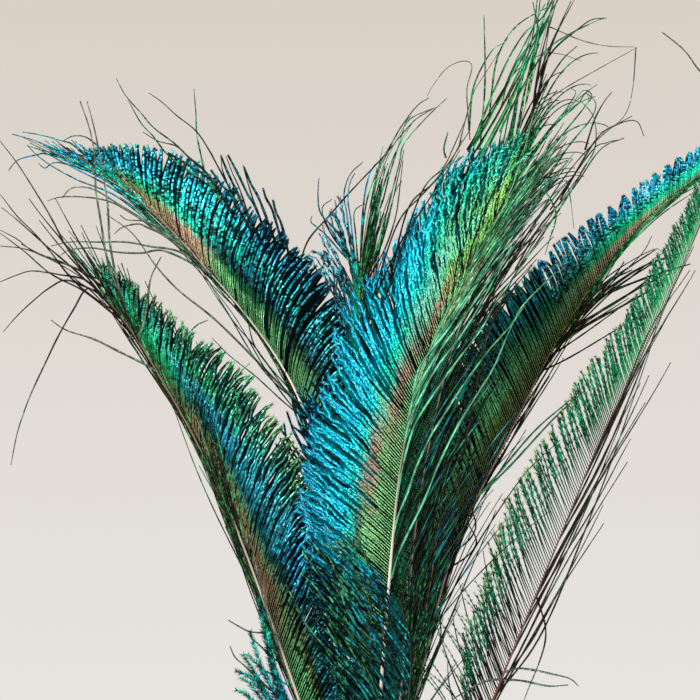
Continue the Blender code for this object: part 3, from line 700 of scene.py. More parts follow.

# Single loose barbs placed one by one: where each crosses the picture, root first, as (right, down) in
# the photograph's pixels.
STRANDS = {
    "feather_centre": {
        "mint": (
            ((391, 586), (399, 556), (407, 537), (425, 499), (439, 464), (459, 423), (483, 385),
             (495, 364), (510, 329), (524, 304), (556, 272)),
            ((394, 536), (398, 517), (407, 495), (416, 468), (430, 437), (447, 410), (463, 385),
             (488, 351), (510, 326), (524, 306)),
            ((398, 500), (402, 472), (412, 432), (423, 410), (443, 380), (459, 358), (481, 329),
             (497, 301), (524, 262)),
            ((404, 460), (409, 425), (421, 396), (439, 364), (459, 338), (477, 310), (495, 277),
             (520, 236)),
            ((408, 430), (414, 396), (427, 371), (441, 349), (459, 324), (481, 292), (512, 246)),
            ((412, 404), (418, 371), (432, 349), (448, 329), (463, 306), (477, 284), (506, 236)),
        ),
        "satin": (
            ((468, 152), (497, 104), (514, 66), (530, 34), (545, 4)),
            ((474, 146), (500, 100), (518, 62), (535, 36), (552, 0)),
            ((478, 150), (502, 106), (522, 66), (541, 30), (560, -4)),
            ((484, 150), (508, 104), (526, 68), (538, 34), (533, 2)),
            ((489, 146), (512, 100), (530, 58), (548, 20), (556, -6)),
            ((480, 156), (506, 108), (520, 78), (532, 40), (538, -6)),
            ((500, 132), (520, 92), (545, 52), (570, 34), (590, 24), (604, 18)),
            ((474, 140), (492, 96), (508, 60), (524, 34), (540, 20), (548, 8)),
        ),
        "green": (
            ((480, 150), (485, 82), (484, 15)),
            ((489, 120), (495, 68), (504, 43), (520, 23), (548, 7)),
            ((469, 130), (474, 86), (491, 52), (504, 43)),
            ((520, 268), (568, 196), (582, 171), (595, 148), (594, 118), (580, 100)),
            ((531, 161), (556, 125), (577, 105), (586, 93), (589, 102)),
            ((528, 190), (560, 140), (584, 108), (592, 96), (584, 90), (575, 100)),
            ((535, 200), (566, 150), (590, 120), (596, 104), (588, 94)),
            ((508, 200), (536, 150), (560, 118), (572, 100), (576, 92), (570, 88)),
            ((545, 190), (556, 214), (549, 241), (545, 255)),
            ((446, 158), (444, 148), (448, 132)),
        ),
        "hair": (
            ((470, 140), (468, 114), (467, 89), (472, 66), (463, 61), (447, 68), (434, 84), (427, 96)),
            ((566, 180), (570, 196), (574, 229)),
            ((500, 110), (512, 76), (540, 55), (560, 54), (581, 61)),
            ((534, 107), (566, 87), (600, 68), (636, 48)),
            ((550, 26), (581, 40), (607, 46), (634, 47)),
            ((636, 47), (633, 86), (627, 111), (615, 125), (597, 134)),
            ((458, 150), (466, 118), (474, 92), (490, 66), (500, 50)),
        ),
        "dark": (
            ((534, 100), (549, 79), (563, 59), (577, 46)),
            ((467, 150), (500, 95), (527, 50), (552, 2)),
            ((470, 160), (506, 100), (530, 56), (548, 18)),
            ((527, 110), (541, 55), (557, 0)),
            ((530, 106), (540, 62), (546, 37), (549, 20)),
            ((534, 110), (552, 45), (574, 0)),
            ((520, 110), (548, 50), (566, 12), (571, 1)),
            ((585, 150), (594, 121), (604, 102), (612, 92)),
            ((560, 200), (595, 141), (616, 125), (636, 121), (644, 136)),
            ((550, 210), (591, 152), (606, 143), (618, 140)),
            ((525, 73), (552, 48), (574, 32), (591, 20), (607, 18)),
            ((385, 300), (420, 196), (443, 168), (454, 146), (468, 114)),
            ((390, 280), (408, 209), (432, 184), (450, 161), (470, 130)),
            ((372, 300), (397, 225), (422, 195), (446, 169), (462, 140)),
            ((378, 290), (402, 240), (426, 204), (444, 176), (460, 150)),
            ((470, 330), (530, 230), (570, 170), (606, 132), (632, 116)),
        ),
        "brown": (
            ((455, 490), (470, 420), (486, 340), (512, 280), (548, 220), (585, 168)),
            ((515, 270), (540, 226), (572, 190), (600, 150), (624, 138)),
        ),
    },
    "feather_right": {
        "mint": (
            ((484, 500), (546, 427), (584, 391)),
            ((484, 496), (530, 436), (570, 400)),
        ),
        "dark": (
            ((490, 492), (520, 424), (552, 360)),
            ((549, 374), (595, 343), (640, 315)),
            ((551, 358), (640, 293)),
            ((562, 340), (629, 298)),
            ((540, 380), (580, 318), (604, 280), (652, 250), (664, 254)),
            ((545, 372), (590, 310), (640, 268), (690, 250)),
            ((560, 350), (604, 300), (650, 262), (668, 250)),
            ((550, 366), (600, 296), (640, 256), (652, 236)),
            ((470, 560), (478, 530), (472, 505), (480, 480)),
            ((462, 575), (478, 545), (468, 520), (478, 498)),
            ((440, 640), (470, 560), (520, 480), (560, 440)),
        ),
        "sedge": (
            ((560, 340), (590, 318), (620, 300), (650, 278), (664, 262)),
            ((555, 350), (590, 324), (626, 304), (656, 286), (672, 270)),
            ((560, 344), (600, 312), (636, 290), (662, 276)),
            ((570, 330), (600, 300), (630, 278), (655, 262)),
            ((577, 330), (604, 294), (640, 268), (668, 258)),
            ((570, 326), (600, 288), (628, 268), (655, 250)),
            ((566, 330), (594, 300), (616, 274), (624, 262)),
            ((562, 340), (590, 300), (612, 280), (632, 270)),
            ((590, 310), (620, 290), (652, 276), (690, 264)),
        ),
        "grey": (
            ((745, 142), (738, 112), (722, 90), (700, 71), (684, 50), (662, 32)),
        ),
        "green": (
            ((604, 270), (640, 226), (672, 196), (700, 178)),
            ((598, 280), (634, 236), (668, 204), (700, 184)),
            ((590, 290), (628, 246), (662, 214), (694, 192)),
        ),
    },
    "feather_far_right": {
        "brown": (
            ((503, 700), (543, 639), (582, 540), (612, 460), (650, 350)),
            ((518, 700), (548, 602), (590, 500), (622, 420)),
            ((500, 690), (533, 640), (560, 590), (604, 523)),
            ((540, 600), (546, 640), (524, 700)),
            ((565, 540), (600, 470), (632, 392), (668, 300), (694, 246)),
            ((590, 480), (622, 400), (650, 330), (690, 270)),
        ),
        "grey": (
            ((506, 674), (523, 669), (561, 676), (572, 680), (578, 686)),
            ((504, 680), (523, 681), (548, 686), (568, 685)),
            ((505, 678), (486, 681), (468, 690), (453, 699)),
        ),
    },
    "feather_middle": {
        "green": (
            ((430, 560), (440, 480), (462, 420), (484, 372)),
            ((420, 620), (430, 540), (448, 470), (470, 410)),
        ),
    },
    "feather_back_left": {
        "tuft": (
            ((352, 545), (336, 506), (322, 470), (306, 440), (296, 415), (291, 396)),
            ((352, 555), (336, 516), (322, 480), (303, 448), (292, 426), (287, 412)),
            ((352, 565), (336, 526), (320, 490), (302, 460), (289, 440), (281, 430)),
            ((352, 575), (334, 536), (318, 500), (300, 470), (288, 450), (280, 438)),
            ((352, 585), (334, 546), (316, 510), (298, 482), (286, 462), (279, 448)),
            ((352, 590), (332, 556), (314, 520), (298, 496), (286, 474), (277, 456)),
            ((352, 535), (338, 498), (324, 462), (312, 436), (309, 416), (309, 400)),
            ((352, 525), (340, 488), (326, 452), (318, 428), (314, 408), (313, 394)),
            ((352, 600), (332, 566), (312, 530), (298, 508), (286, 490), (278, 472)),
            ((352, 610), (332, 576), (312, 540), (300, 520), (290, 500), (284, 482)),
            ((352, 540), (338, 506), (318, 474), (302, 448), (293, 430), (290, 420)),
            ((352, 560), (336, 524), (316, 488), (298, 460), (288, 444), (284, 424)),
            ((352, 580), (334, 546), (312, 512), (296, 484), (284, 468), (276, 444)),
            ((352, 600), (332, 570), (310, 540), (298, 524), (290, 512), (286, 500)),
        ),
        "teal": (
            ((352, 290), (347, 218), (344, 198), (346, 184), (352, 172), (363, 162)),
            ((355, 285), (351, 224), (348, 201), (350, 183), (355, 173)),
            ((358, 285), (361, 230), (365, 192), (372, 169), (384, 156), (403, 124), (418, 105),
             (429, 98)),
            ((354, 270), (336, 232), (321, 214), (318, 196), (319, 178)),
            ((350, 270), (330, 240), (318, 228), (311, 222), (312, 216)),
            ((352, 275), (334, 236), (326, 222), (334, 216), (342, 230)),
        ),
        "green": (
            ((362, 285), (370, 230), (372, 198), (378, 173), (389, 150), (400, 128), (412, 115)),
            ((364, 285), (376, 224), (384, 198), (389, 177), (399, 145), (408, 121), (429, 110),
             (440, 106)),
            ((366, 285), (379, 249), (388, 211), (394, 186), (400, 161), (404, 144), (426, 118),
             (447, 98)),
            ((363, 282), (372, 240), (380, 200), (390, 166), (402, 140), (414, 120)),
            ((366, 285), (382, 240), (390, 210), (396, 190), (402, 181)),
            ((360, 285), (362, 240), (366, 205), (372, 185), (382, 160), (396, 136)),
            ((358, 283), (356, 240), (354, 214), (360, 206), (366, 204)),
        ),
        "dark": (
            ((300, 262), (309, 239), (329, 216), (351, 191), (384, 156), (413, 122), (434, 108)),
            ((368, 290), (384, 240), (393, 200), (400, 168), (404, 150)),
            ((368, 290), (386, 250), (396, 216), (400, 186), (403, 160)),
            ((340, 262), (331, 240), (322, 210), (332, 199)),
        ),
    },
    "feather_upper_left": {
        "green": (
            ((222, 205), (207, 173), (191, 159), (174, 143), (154, 128), (141, 113), (126, 96), (116, 78)),
            ((215, 190), (196, 176), (182, 166), (166, 153), (153, 136), (141, 123), (128, 100)),
            ((215, 195), (206, 176), (202, 160), (197, 135), (196, 115), (194, 89)),
        ),
        "dark": (
            ((240, 210), (232, 193), (216, 163), (209, 150), (196, 131), (176, 115), (163, 103),
             (149, 93)),
            ((225, 200), (212, 179), (202, 169), (187, 156), (176, 146), (158, 141), (143, 132)),
            ((250, 220), (240, 190), (232, 172), (226, 156)),
            ((262, 226), (252, 196), (247, 180), (243, 165)),
            ((236, 208), (226, 180), (222, 168), (221, 154)),
        ),
        "rope": (
            ((262, 244), (246, 212), (237, 192), (228, 173), (221, 156)),
            ((268, 240), (255, 206), (248, 195), (238, 174), (228, 155)),
            ((276, 244), (260, 201), (251, 184), (244, 167)),
            ((284, 250), (273, 212), (266, 198), (263, 188)),
            ((290, 260), (282, 226), (276, 212), (273, 200)),
            ((254, 236), (232, 197), (221, 184), (211, 170)),
            ((236, 220), (213, 181), (202, 173), (185, 163), (168, 153)),
        ),
        "teal": (
            ((118, 190), (90, 160), (58, 150), (33, 140), (12, 134)),
            ((110, 176), (75, 146), (63, 141), (41, 135), (22, 132)),
            ((122, 170), (113, 153), (100, 146), (86, 137), (73, 136), (63, 141)),
            ((180, 240), (160, 230), (116, 196), (80, 181), (55, 168), (38, 156), (27, 145)),
            ((100, 176), (66, 164), (53, 163), (45, 168), (38, 163)),
            ((90, 165), (48, 154), (36, 155), (18, 160), (8, 171)),
            ((140, 205), (100, 178), (64, 160), (30, 143)),
            ((150, 215), (104, 184), (70, 166), (40, 150)),
        ),
        "grey": (
            ((200, 262), (170, 240), (133, 214), (108, 201), (83, 197), (61, 197), (47, 201)),
            ((190, 250), (130, 212), (109, 198), (93, 189), (80, 187), (70, 189), (62, 198)),
            ((215, 275), (182, 252), (149, 246), (126, 242), (100, 242), (70, 242), (51, 246)),
            ((212, 272), (166, 251), (141, 253), (116, 252), (93, 248), (70, 250), (58, 257)),
            ((180, 246), (160, 234), (146, 227), (138, 224), (123, 227), (114, 234)),
            ((291, 410), (250, 359), (214, 320), (179, 291), (156, 266), (133, 234), (106, 214)),
            ((180, 246), (170, 236), (148, 222), (128, 220), (120, 215)),
        ),
        "pine": (
            ((300, 425), (260, 381), (230, 356), (212, 338)),
            ((300, 424), (260, 356), (232, 320), (199, 270), (180, 240)),
            ((296, 410), (262, 372), (226, 310), (203, 272), (190, 250)),
            ((306, 430), (270, 378), (238, 322), (212, 286)),
            ((294, 400), (256, 350), (244, 312), (214, 276), (196, 256)),
        ),
    },
    "feather_lower_left": {
        "brown": (
            ((100, 320), (100, 300), (83, 280), (66, 251), (50, 217), (33, 188), (17, 163), (0, 141)),
            ((108, 320), (80, 292), (66, 275), (50, 252), (33, 232), (17, 216), (0, 194)),
            ((125, 340), (115, 292), (91, 277), (66, 264), (33, 251), (17, 239), (0, 230)),
            ((110, 330), (83, 295), (50, 274), (25, 252), (0, 233)),
            ((120, 330), (88, 280), (71, 267), (50, 259), (25, 249), (0, 246)),
            ((96, 300), (83, 282), (58, 275), (33, 271), (17, 275), (0, 282)),
        ),
        "dark": (
            ((90, 300), (66, 283), (50, 288), (33, 301), (17, 316), (3, 332)),
            ((92, 305), (80, 296), (70, 313), (56, 339), (45, 363), (33, 389), (25, 409), (17, 434),
             (11, 465)),
            ((140, 345), (116, 292), (106, 281), (95, 266)),
            ((118, 320), (100, 296), (82, 284), (66, 272)),
            ((130, 340), (110, 312), (90, 290), (70, 278)),
        ),
        "green": (
            ((146, 330), (129, 292), (126, 276), (121, 263)),
            ((150, 330), (132, 300), (131, 284), (127, 268)),
            ((192, 360), (187, 339), (196, 326), (208, 320)),
            ((240, 420), (235, 386), (240, 373), (250, 363)),
        ),
        "grey": (
            ((134, 320), (123, 292), (109, 259), (101, 219), (96, 189), (95, 159), (90, 130), (80, 101)),
            ((138, 326), (126, 296), (119, 276), (111, 242), (108, 204), (103, 173), (98, 146), (93, 123),
             (87, 101)),
            ((152, 376), (141, 366), (116, 351), (93, 339), (66, 330), (51, 320)),
            ((150, 330), (149, 301), (151, 278), (161, 257)),
            ((273, 650), (275, 636), (251, 632), (240, 627), (228, 620)),
            ((270, 690), (246, 667), (235, 657), (230, 646)),
        ),
        "teal": (
            ((280, 670), (262, 648), (254, 640), (248, 634)),
            ((284, 690), (266, 672), (253, 680), (246, 674), (235, 671)),
            ((272, 626), (266, 618), (262, 608), (258, 600)),
        ),
        "down": (
            ((292, 740), (278, 690), (268, 650), (258, 600)),
            ((290, 740), (274, 700), (262, 668), (250, 632)),
            ((294, 740), (281, 694), (270, 656), (263, 624)),
            ((290, 742), (268, 700), (254, 672), (243, 655)),
            ((288, 742), (266, 706), (250, 684), (240, 678)),
            ((296, 742), (284, 704), (276, 680), (270, 640)),
            ((288, 740), (270, 704), (256, 680), (236, 671)),
            ((296, 740), (284, 700), (274, 668), (266, 628)),
            ((286, 745), (262, 712), (246, 694), (236, 690)),
            ((294, 740), (280, 706), (266, 676), (248, 654)),
            ((296, 742), (288, 716), (278, 690), (270, 664)),
            ((292, 744), (276, 712), (262, 690), (252, 682)),
            ((298, 744), (290, 722), (282, 700), (276, 682)),
            ((286, 746), (266, 722), (254, 706), (250, 700)),
        ),
    },
    "feather_front_low": {
        "frond": (
            ((400, 725), (370, 690), (332, 654), (308, 628), (298, 609), (286, 585)),
            ((395, 720), (375, 688), (363, 654), (332, 611), (315, 587), (300, 573)),
            ((402, 650), (387, 616), (373, 590), (356, 573), (339, 554), (321, 538)),
            ((400, 625), (380, 590), (366, 566), (344, 539), (326, 530)),
            ((400, 668), (385, 640), (370, 616), (356, 594), (339, 575), (330, 561)),
            ((402, 735), (351, 688), (339, 669), (322, 645), (308, 626), (296, 609)),
            ((404, 700), (380, 660), (352, 622), (330, 592), (312, 566), (302, 552)),
            ((403, 690), (384, 650), (360, 610), (342, 584), (326, 560), (316, 548)),
        ),
        "pine": (
            ((420, 700), (428, 640), (420, 590), (430, 540)),
            ((410, 700), (440, 640), (436, 600), (446, 560)),
            ((400, 690), (384, 640), (372, 600), (362, 570)),
        ),
    },
}

# ---------------------------------------------------------------- small tools
def linear(name):
    """A palette colour as linear RGBA, by the sRGB curve."""
    srgb = np.asarray(PALETTE[name], float)
    low = srgb / 12.92
    high = ((srgb + 0.055) / 1.055) ** 2.4
    return (*np.where(srgb <= 0.04045, low, high).tolist(), 1.0)


def unit(v):
    """Vectors of length 1 in the same directions."""
    return v / np.maximum(np.linalg.norm(v, axis=-1, keepdims=True), TINY)


def smooth_path(keys, per_span=PATH_STEPS):
    """Points of a Catmull-Rom curve through the keys, as an array."""
    keys = np.asarray(keys, float)
    padded = np.vstack([2 * keys[0] - keys[1], keys, 2 * keys[-1] - keys[-2]])
    t = np.linspace(0, 1, per_span, endpoint=False)[:, None]
    spans = []
    for a, b, c, d in zip(padded[:-3], padded[1:-2], padded[2:-1], padded[3:]):
        bend = (2 * a - 5 * b + 4 * c - d) * t**2 + (3 * b - a - 3 * c + d) * t**3
        spans.append(0.5 * (2 * b + (c - a) * t + bend))
    return np.vstack([*spans, keys[-1:]])


def run_along(points):
    """Distance travelled at each of a path's points."""
    return np.concatenate([[0], np.cumsum(np.linalg.norm(np.diff(points, axis=0), axis=1))])


def totals(steps):
    """Running totals along each row, from 0."""
    return np.concatenate([np.zeros((len(steps), 1)), np.cumsum(steps, 1)], 1)


def sampled(points, count):
    """A path resampled to evenly spaced points."""
    run = run_along(points)
    here = np.linspace(0, run[-1], count)
    return np.stack([np.interp(here, run, points[:, i]) for i in range(points.shape[1])], 1)


def soft_noise(rng, count, spacing):
    """Random numbers from -1 to 1 that change smoothly over about spacing items."""
    keys = rng.uniform(-1, 1, int(count / spacing) + 3)
    return np.interp(np.arange(count) / spacing + rng.uniform(), np.arange(len(keys)), keys)


def picture_scale(depth):
    """Size in the frame of one of the photograph's pixels at a depth (y)."""
    distance = depth - CAMERA_PLACE[1]
    return PICTURE_WIDTH / PICTURE_PIXELS * distance / -CAMERA_PLACE[1]


def on_picture(pixels, depth):
    """Places in the frame seen at these pixels and depths."""
    scale = picture_scale(depth)
    x = CAMERA_PLACE[0] + (pixels[:, 0] - PICTURE_PIXELS / 2) * scale
    z = CAMERA_PLACE[2] + (PICTURE_PIXELS / 2 - pixels[:, 1]) * scale
    return np.stack([x, depth, z], 1)


def seen_at(points):
    """Pixels at which points of the frame are seen."""
    scale = picture_scale(points[:, 1])
    right = PICTURE_PIXELS / 2 + (points[:, 0] - CAMERA_PLACE[0]) / scale
    down = PICTURE_PIXELS / 2 - (points[:, 2] - CAMERA_PLACE[2]) / scale
    return np.stack([right, down], 1)


def make_object(name, points, faces, uv, material):
    """A mesh object from arrays of points, triangles and one (u, v) per corner."""
    data = bpy.data.meshes.new(name)
    data.from_pydata(points, [], faces)
    layer = data.uv_layers.new(name="OFBake")
    layer.uv.foreach_set("vector", np.ascontiguousarray(uv, dtype=np.float32).ravel())
    data.materials.append(material)
    made = bpy.data.objects.new(name, data)
    bpy.context.scene.collection.objects.link(made)
    return made


class Soup:
    """Triangles gathered for one mesh."""

    def __init__(self):
        self.points, self.faces, self.uv, self.count = [], [], [], 0

    def add(self, points, faces, uv):
        """Points in rows of any shape, the triangles between them and one (u, v) per point."""
        points, uv = points.reshape(-1, 3), uv.reshape(-1, 2)
        self.points.append(points)
        self.faces.append(faces + self.count)
        self.uv.append(uv[faces].reshape(-1, 2))
        self.count += len(points)

    def build(self, name, material):
        """One object of all that was added."""
        return make_object(name, np.vstack(self.points), np.vstack(self.faces), np.vstack(self.uv), material)


def grid_faces(rows, columns, copies=1):
    """Triangles of copies of a rows x columns grid of points, numbered copy by copy and row by row."""
    r, c = np.meshgrid(np.arange(rows - 1), np.arange(columns - 1), indexing="ij")
    corner = (r * columns + c).ravel()
    one = np.vstack([
        np.stack([corner, corner + 1, corner + columns + 1], 1),
        np.stack([corner, corner + columns + 1, corner + columns], 1),
    ])
    return (one[None] + (np.arange(copies) * rows * columns)[:, None, None]).reshape(-1, 3)


# ---------------------------------------------------------------- feathers and barbs
class Feather:
    """A feather's shaft and the directions across its vane, as in its solid."""

    def __init__(self, name, shape):
        self.name, self.shape, self.slot = name, shape, shape["slot"]
        self.path = smooth_path(shape["shaft"]) * MM
        self.run = run_along(self.path)
        self.length = self.run[-1]
        self.vane_start = np.interp(VANE_BASE_HEIGHT, self.path[:, 2], self.run)
        self.vane_length = self.length - self.vane_start
        v = np.linspace(0, 1, FRAME_STATIONS)
        here = self.vane_start + v * self.vane_length
        ahead = self.at(np.minimum(here + DIRECTION_STEP, self.length))
        self.stations, self.along = v, unit(ahead - self.at(here - DIRECTION_STEP))
        turn = np.radians(np.interp(v, (0, 1), shape["turn"]))
        look = np.stack([np.sin(turn), -np.cos(turn), np.zeros_like(turn)], 1)
        self.across = unit(np.cross(look, self.along)) * shape["side"]
        self.facing = np.cross(self.along, self.across) * shape["side"]

    def at(self, distance):
        """The shaft's centre at a distance from the quill's foot."""
        return np.stack([np.interp(distance, self.run, self.path[:, i]) for i in range(3)], -1)

    def root(self, v):
        """The shaft's centre at v, from 0 at the vane's base to 1 at the tip."""
        return self.at(self.vane_start + v * self.vane_length)

    def axes(self, v):
        """The shaft's direction, the way across the vane, and the way that its face looks."""
        return [unit(np.stack([np.interp(v, self.stations, a[:, i]) for i in range(3)], -1))
                for a in (self.along, self.across, self.facing)]

    def seen_nearest(self, pixel):
        """The point of the shaft seen closest to a pixel, and how far from it in pixels."""
        gap = np.linalg.norm(seen_at(self.path) - pixel, axis=1)
        return self.path[np.argmin(gap)], gap.min()

    def depth_seen(self, down):
        """Depth (y) of the shaft in the rows of these pixels."""
        return np.interp(down, seen_at(self.path)[::-1, 1], self.path[::-1, 1])


class Lines:
    """Many barbs at once: points (barb, step, xyz) with their tangents, sideways and facing directions."""

    def __init__(self, points, facing, roll):
        self.points, self.facing, self.roll = points, facing, roll
        self.count, self.steps = points.shape[:2]
        self.tangent = unit(np.gradient(points, axis=1))
        sideways = unit(np.cross(self.tangent, facing))
        up = np.cross(sideways, self.tangent)
        cos, sin = np.cos(roll)[..., None], np.sin(roll)[..., None]
        self.sideways = sideways * cos + up * sin
        self.up = up * cos - sideways * sin
        self.lengths = np.linalg.norm(np.diff(points, axis=1), axis=2).sum(1)

    def thinned(self, stride):
        """The same lines with only every so many of their points."""
        return Lines(self.points[:, ::stride], self.facing, self.roll[:, ::stride])

    def sample(self, line, u):
        """Point, tangent, sideways and facing direction at u on each of the given lines."""
        place = u * (self.steps - 1)
        low = np.minimum(place.astype(int), self.steps - 2)
        share = (place - low)[:, None]
        return [a[line, low] * (1 - share) + a[line, low + 1] * share
                for a in (self.points, self.tangent, self.sideways, self.up)]


def twist(rng, lengths):
    """A strand's slow turning about itself, in radians at each step."""
    u = np.linspace(0, 1, STRAND_STEPS)
    shape = (len(lengths), 1)
    turns = lengths[:, None] / STRAND_TWIST_LENGTH * rng.uniform(*TWIST_RATES, shape)
    return np.radians(STRAND_TWIST) * np.sin(2 * np.pi * (u * turns + rng.uniform(0, 1, shape)))


def clumped(points, rng, clump, pull, grip):
    """Barbs drawn together towards their tips in groups of about clump."""
    count, steps = points.shape[:2]
    u = np.linspace(0, 1, steps)
    edges = np.cumsum(rng.uniform(*CLUMP_SIZES, count) * clump).astype(int)
    group = np.searchsorted(edges, np.arange(count))
    first = np.searchsorted(group, group)
    last = np.searchsorted(group, group, side="right") - 1
    leader = (first + last) // 2
    strength = np.linspace(*pull, count)[leader] * rng.uniform(*CLUMP_PULLS, group.max() + 1)[group]
    return points + (points[leader] - points) * (strength[:, None] * u**grip)[..., None]


def arc_points(feather, v, side, length, start, end, rng, steps, wave, lift, curl=0.0, crinkle=0.0, bend=1):
    """Barbs that leave the shaft at v and turn from their start to their end angle, in degrees."""
    along, across, facing = feather.axes(v)
    count = len(v)
    u = np.linspace(0, 1, steps + 1)
    middle = (u[1:] + u[:-1]) / 2
    curl = np.broadcast_to(curl, count)[:, None]
    angle = np.radians(start[:, None] + (end - start)[:, None] * middle**bend + curl * middle**CURL_POWER)
    phase = rng.uniform(0, 2 * np.pi, (count, 1))
    angle = angle + wave * np.sin(phase + middle * rng.uniform(*WAVE_RATES, (count, 1))) * middle
    angle = angle + crinkle * rng.normal(0, 1, (count, steps)) * middle
    step = (length / steps)[:, None]
    forward, out = totals(np.cos(angle) * step), totals(np.sin(angle) * step)
    rise = lift[:, None] * u**2 - BARB_CUP * length[:, None] * u**2
    return (feather.root(v)[:, None] + forward[..., None] * along[:, None]
            + (out * side)[..., None] * across[:, None] + rise[..., None] * facing[:, None])


def vane_lines(feather, look, rng):
    """The barbs of a stretch of the dense side."""
    first, last = look["v"]
    count = int(feather.vane_length * (last - first) / look["pitch"] / MM)
    v = np.linspace(first, last, count)
    reach, start, end = (np.interp(v, look["keys"], look[key]) for key in ("reach", "start", "end"))
    uneven = soft_noise(rng, count, LENGTH_SPACING) + SINGLE_SHARE * rng.uniform(*SINGLE_LENGTHS, count)
    length = reach * MM * (1 + look["uneven"] * uneven)
    start = start + rng.normal(0, min(ROOT_STRAY, ROOT_STRAY_SHARE * look["stray"]), count)
    end = end + look["sway"] * soft_noise(rng, count, ANGLE_SPACING) + rng.normal(0, look["stray"], count)
    lift = rng.normal(BARB_LIFT, look["fluff"] * MM, count)
    points = arc_points(feather, v, DENSE, length, start, end, rng, look["steps"], look["wave"], lift,
                        crinkle=look["crinkle"], bend=look["bend"])
    points = clumped(points, rng, look["clump"], look["pull"], look["grip"])
    roll = np.radians(CLUMP_ROLL) * soft_noise(rng, count, ROLL_SPACING) + rng.normal(0, BARB_ROLL, count)
    return Lines(points, feather.axes(v)[2][:, None], np.repeat(roll[:, None], look["steps"] + 1, 1))


def fan_points(feather, group, rng):
    """The barbs of a fan, and the direction that each faces."""
    count = group["count"]
    share = (np.arange(count) + rng.uniform(0, 1, count)) / count
    v = group["v"][0] + share * (group["v"][1] - group["v"][0])
    measures = ("length", "start", "end", "curl")
    length, start, end, curl = (np.interp(share, (0, 1), group[key]) for key in measures)
    length = length * MM * rng.uniform(*FAN_LENGTHS, count)
    start = start + rng.normal(0, FAN_ROOT_STRAY, count)
    end = end + rng.normal(0, group["stray"], count)
    curl = curl * rng.uniform(*FAN_CURLS, count)
    lift = group["lift"] * MM + rng.normal(0, group["spread"], count) * length
    steps = STRAND_STEPS - 1
    points = arc_points(feather, v, group["side"], length, start, end, rng, steps, FAN_WAVE, lift, curl)
    return points, feather.axes(v)[2]


def picture_points(feather, paths, rng):
    """Strands through the given pixels, which drift in depth, and the direction that each faces."""
    strands = []
    share = np.linspace(0, 1, STRAND_STEPS)
    for path in paths:
        keys = np.array(path, float)
        root, gap = feather.seen_nearest(keys[0])
        smooth = sampled(smooth_path(keys, STRAND_KEY_STEPS), STRAND_STEPS)
        drift = rng.uniform(*DRIFTS) * STRAND_DRIFT * share
        points = on_picture(smooth, np.minimum(root[1], feather.depth_seen(smooth[:, 1])) - drift)
        if gap < ROOT_REACH:
            points += (root - points[0]) * (1 - share[:, None])**ROOT_POWER
        strands.append(points)
    return np.stack(strands), np.tile((0.0, -1.0, 0.0), (len(paths), 1))


def add_ribbons(soup, lines, half_width, ridge, taper, root_width=1.0, offset=0.0, hold=BARB_HOLD,
                strip=BARB_ROW):
    """Each line as a narrow strip with a ridge along its middle."""
    u = np.linspace(0, 1, lines.steps)
    size = ((1 - (1 - taper) * u**hold) * np.interp(u, ROOT_WIDENING, (root_width, 1)))[None, :, None]
    across = lines.sideways * half_width * size
    crown = lines.up * ridge * size
    centre = lines.points - offset * lines.up
    points = np.stack([centre - across, centre + crown, centre + across], 2)
    v = (np.arange(lines.count)[:, None, None] + np.array(strip)) / lines.count
    uv = np.stack(np.broadcast_arrays(u[None, :, None], v), -1)
    soup.add(points, grid_faces(lines.steps, 3, lines.count), uv)


def add_barbules(soup, lines, look, rng):
    """Small pointed blades along both sides of each line."""
    begin = look["bare"]
    counts = np.maximum((lines.lengths * (1 - begin) / (look["blade_pitch"] * MM)).astype(int), 2)
    line = np.repeat(np.arange(lines.count), counts)
    order = np.arange(len(line)) - np.repeat(np.cumsum(counts) - counts, counts)
    u = begin + (1 - begin) * (order + 0.5) / counts[line]
    half_cell = (1 - begin) / counts[line] / 2
    point, tangent, sideways, up = lines.sample(line, u)
    reach = np.interp(u, np.linspace(0, 1, len(look["blade"])), look["blade"]) * MM
    if look["tuft"]:
        phase = rng.uniform(0, 1, lines.count)[line]
        bunch = np.sin(2 * np.pi * (u * lines.lengths[line] / (look["tuft"] * MM) + phase))
        reach = reach * np.clip(TUFT_MIDDLE + TUFT_SWING * bunch, 0, 1)
    half = tangent * look["blade_width"] * MM / 2
    faces = np.arange(len(line) * 3).reshape(-1, 3)
    for hand, near_side, far_side in zip((-1, 1), BARB_ROW[::2], BARBULE_TIPS):
        size = reach * rng.uniform(*BARBULE_LENGTHS, len(line))
        lean = np.radians(look["lean"]) * rng.uniform(*BARBULE_LEANS, len(line))
        tilt = rng.normal(0.0, BARBULE_TILT, len(line))
        heading = (tangent * np.cos(lean)[:, None] + sideways * (hand * np.sin(lean) * np.cos(tilt))[:, None]
                   + up * (np.sin(lean) * np.sin(tilt))[:, None])
        corners = np.stack([point - half, point + half, point + heading * size[:, None]], 1)
        v = np.stack([line + near_side, line + near_side, line + far_side], 1) / lines.count
        across = np.stack([u - half_cell, u + half_cell, u + half_cell], 1)
        turned = faces if hand < 0 else faces[:, [1, 0, 2]]
        soup.add(corners, turned, np.stack([across, v], -1))


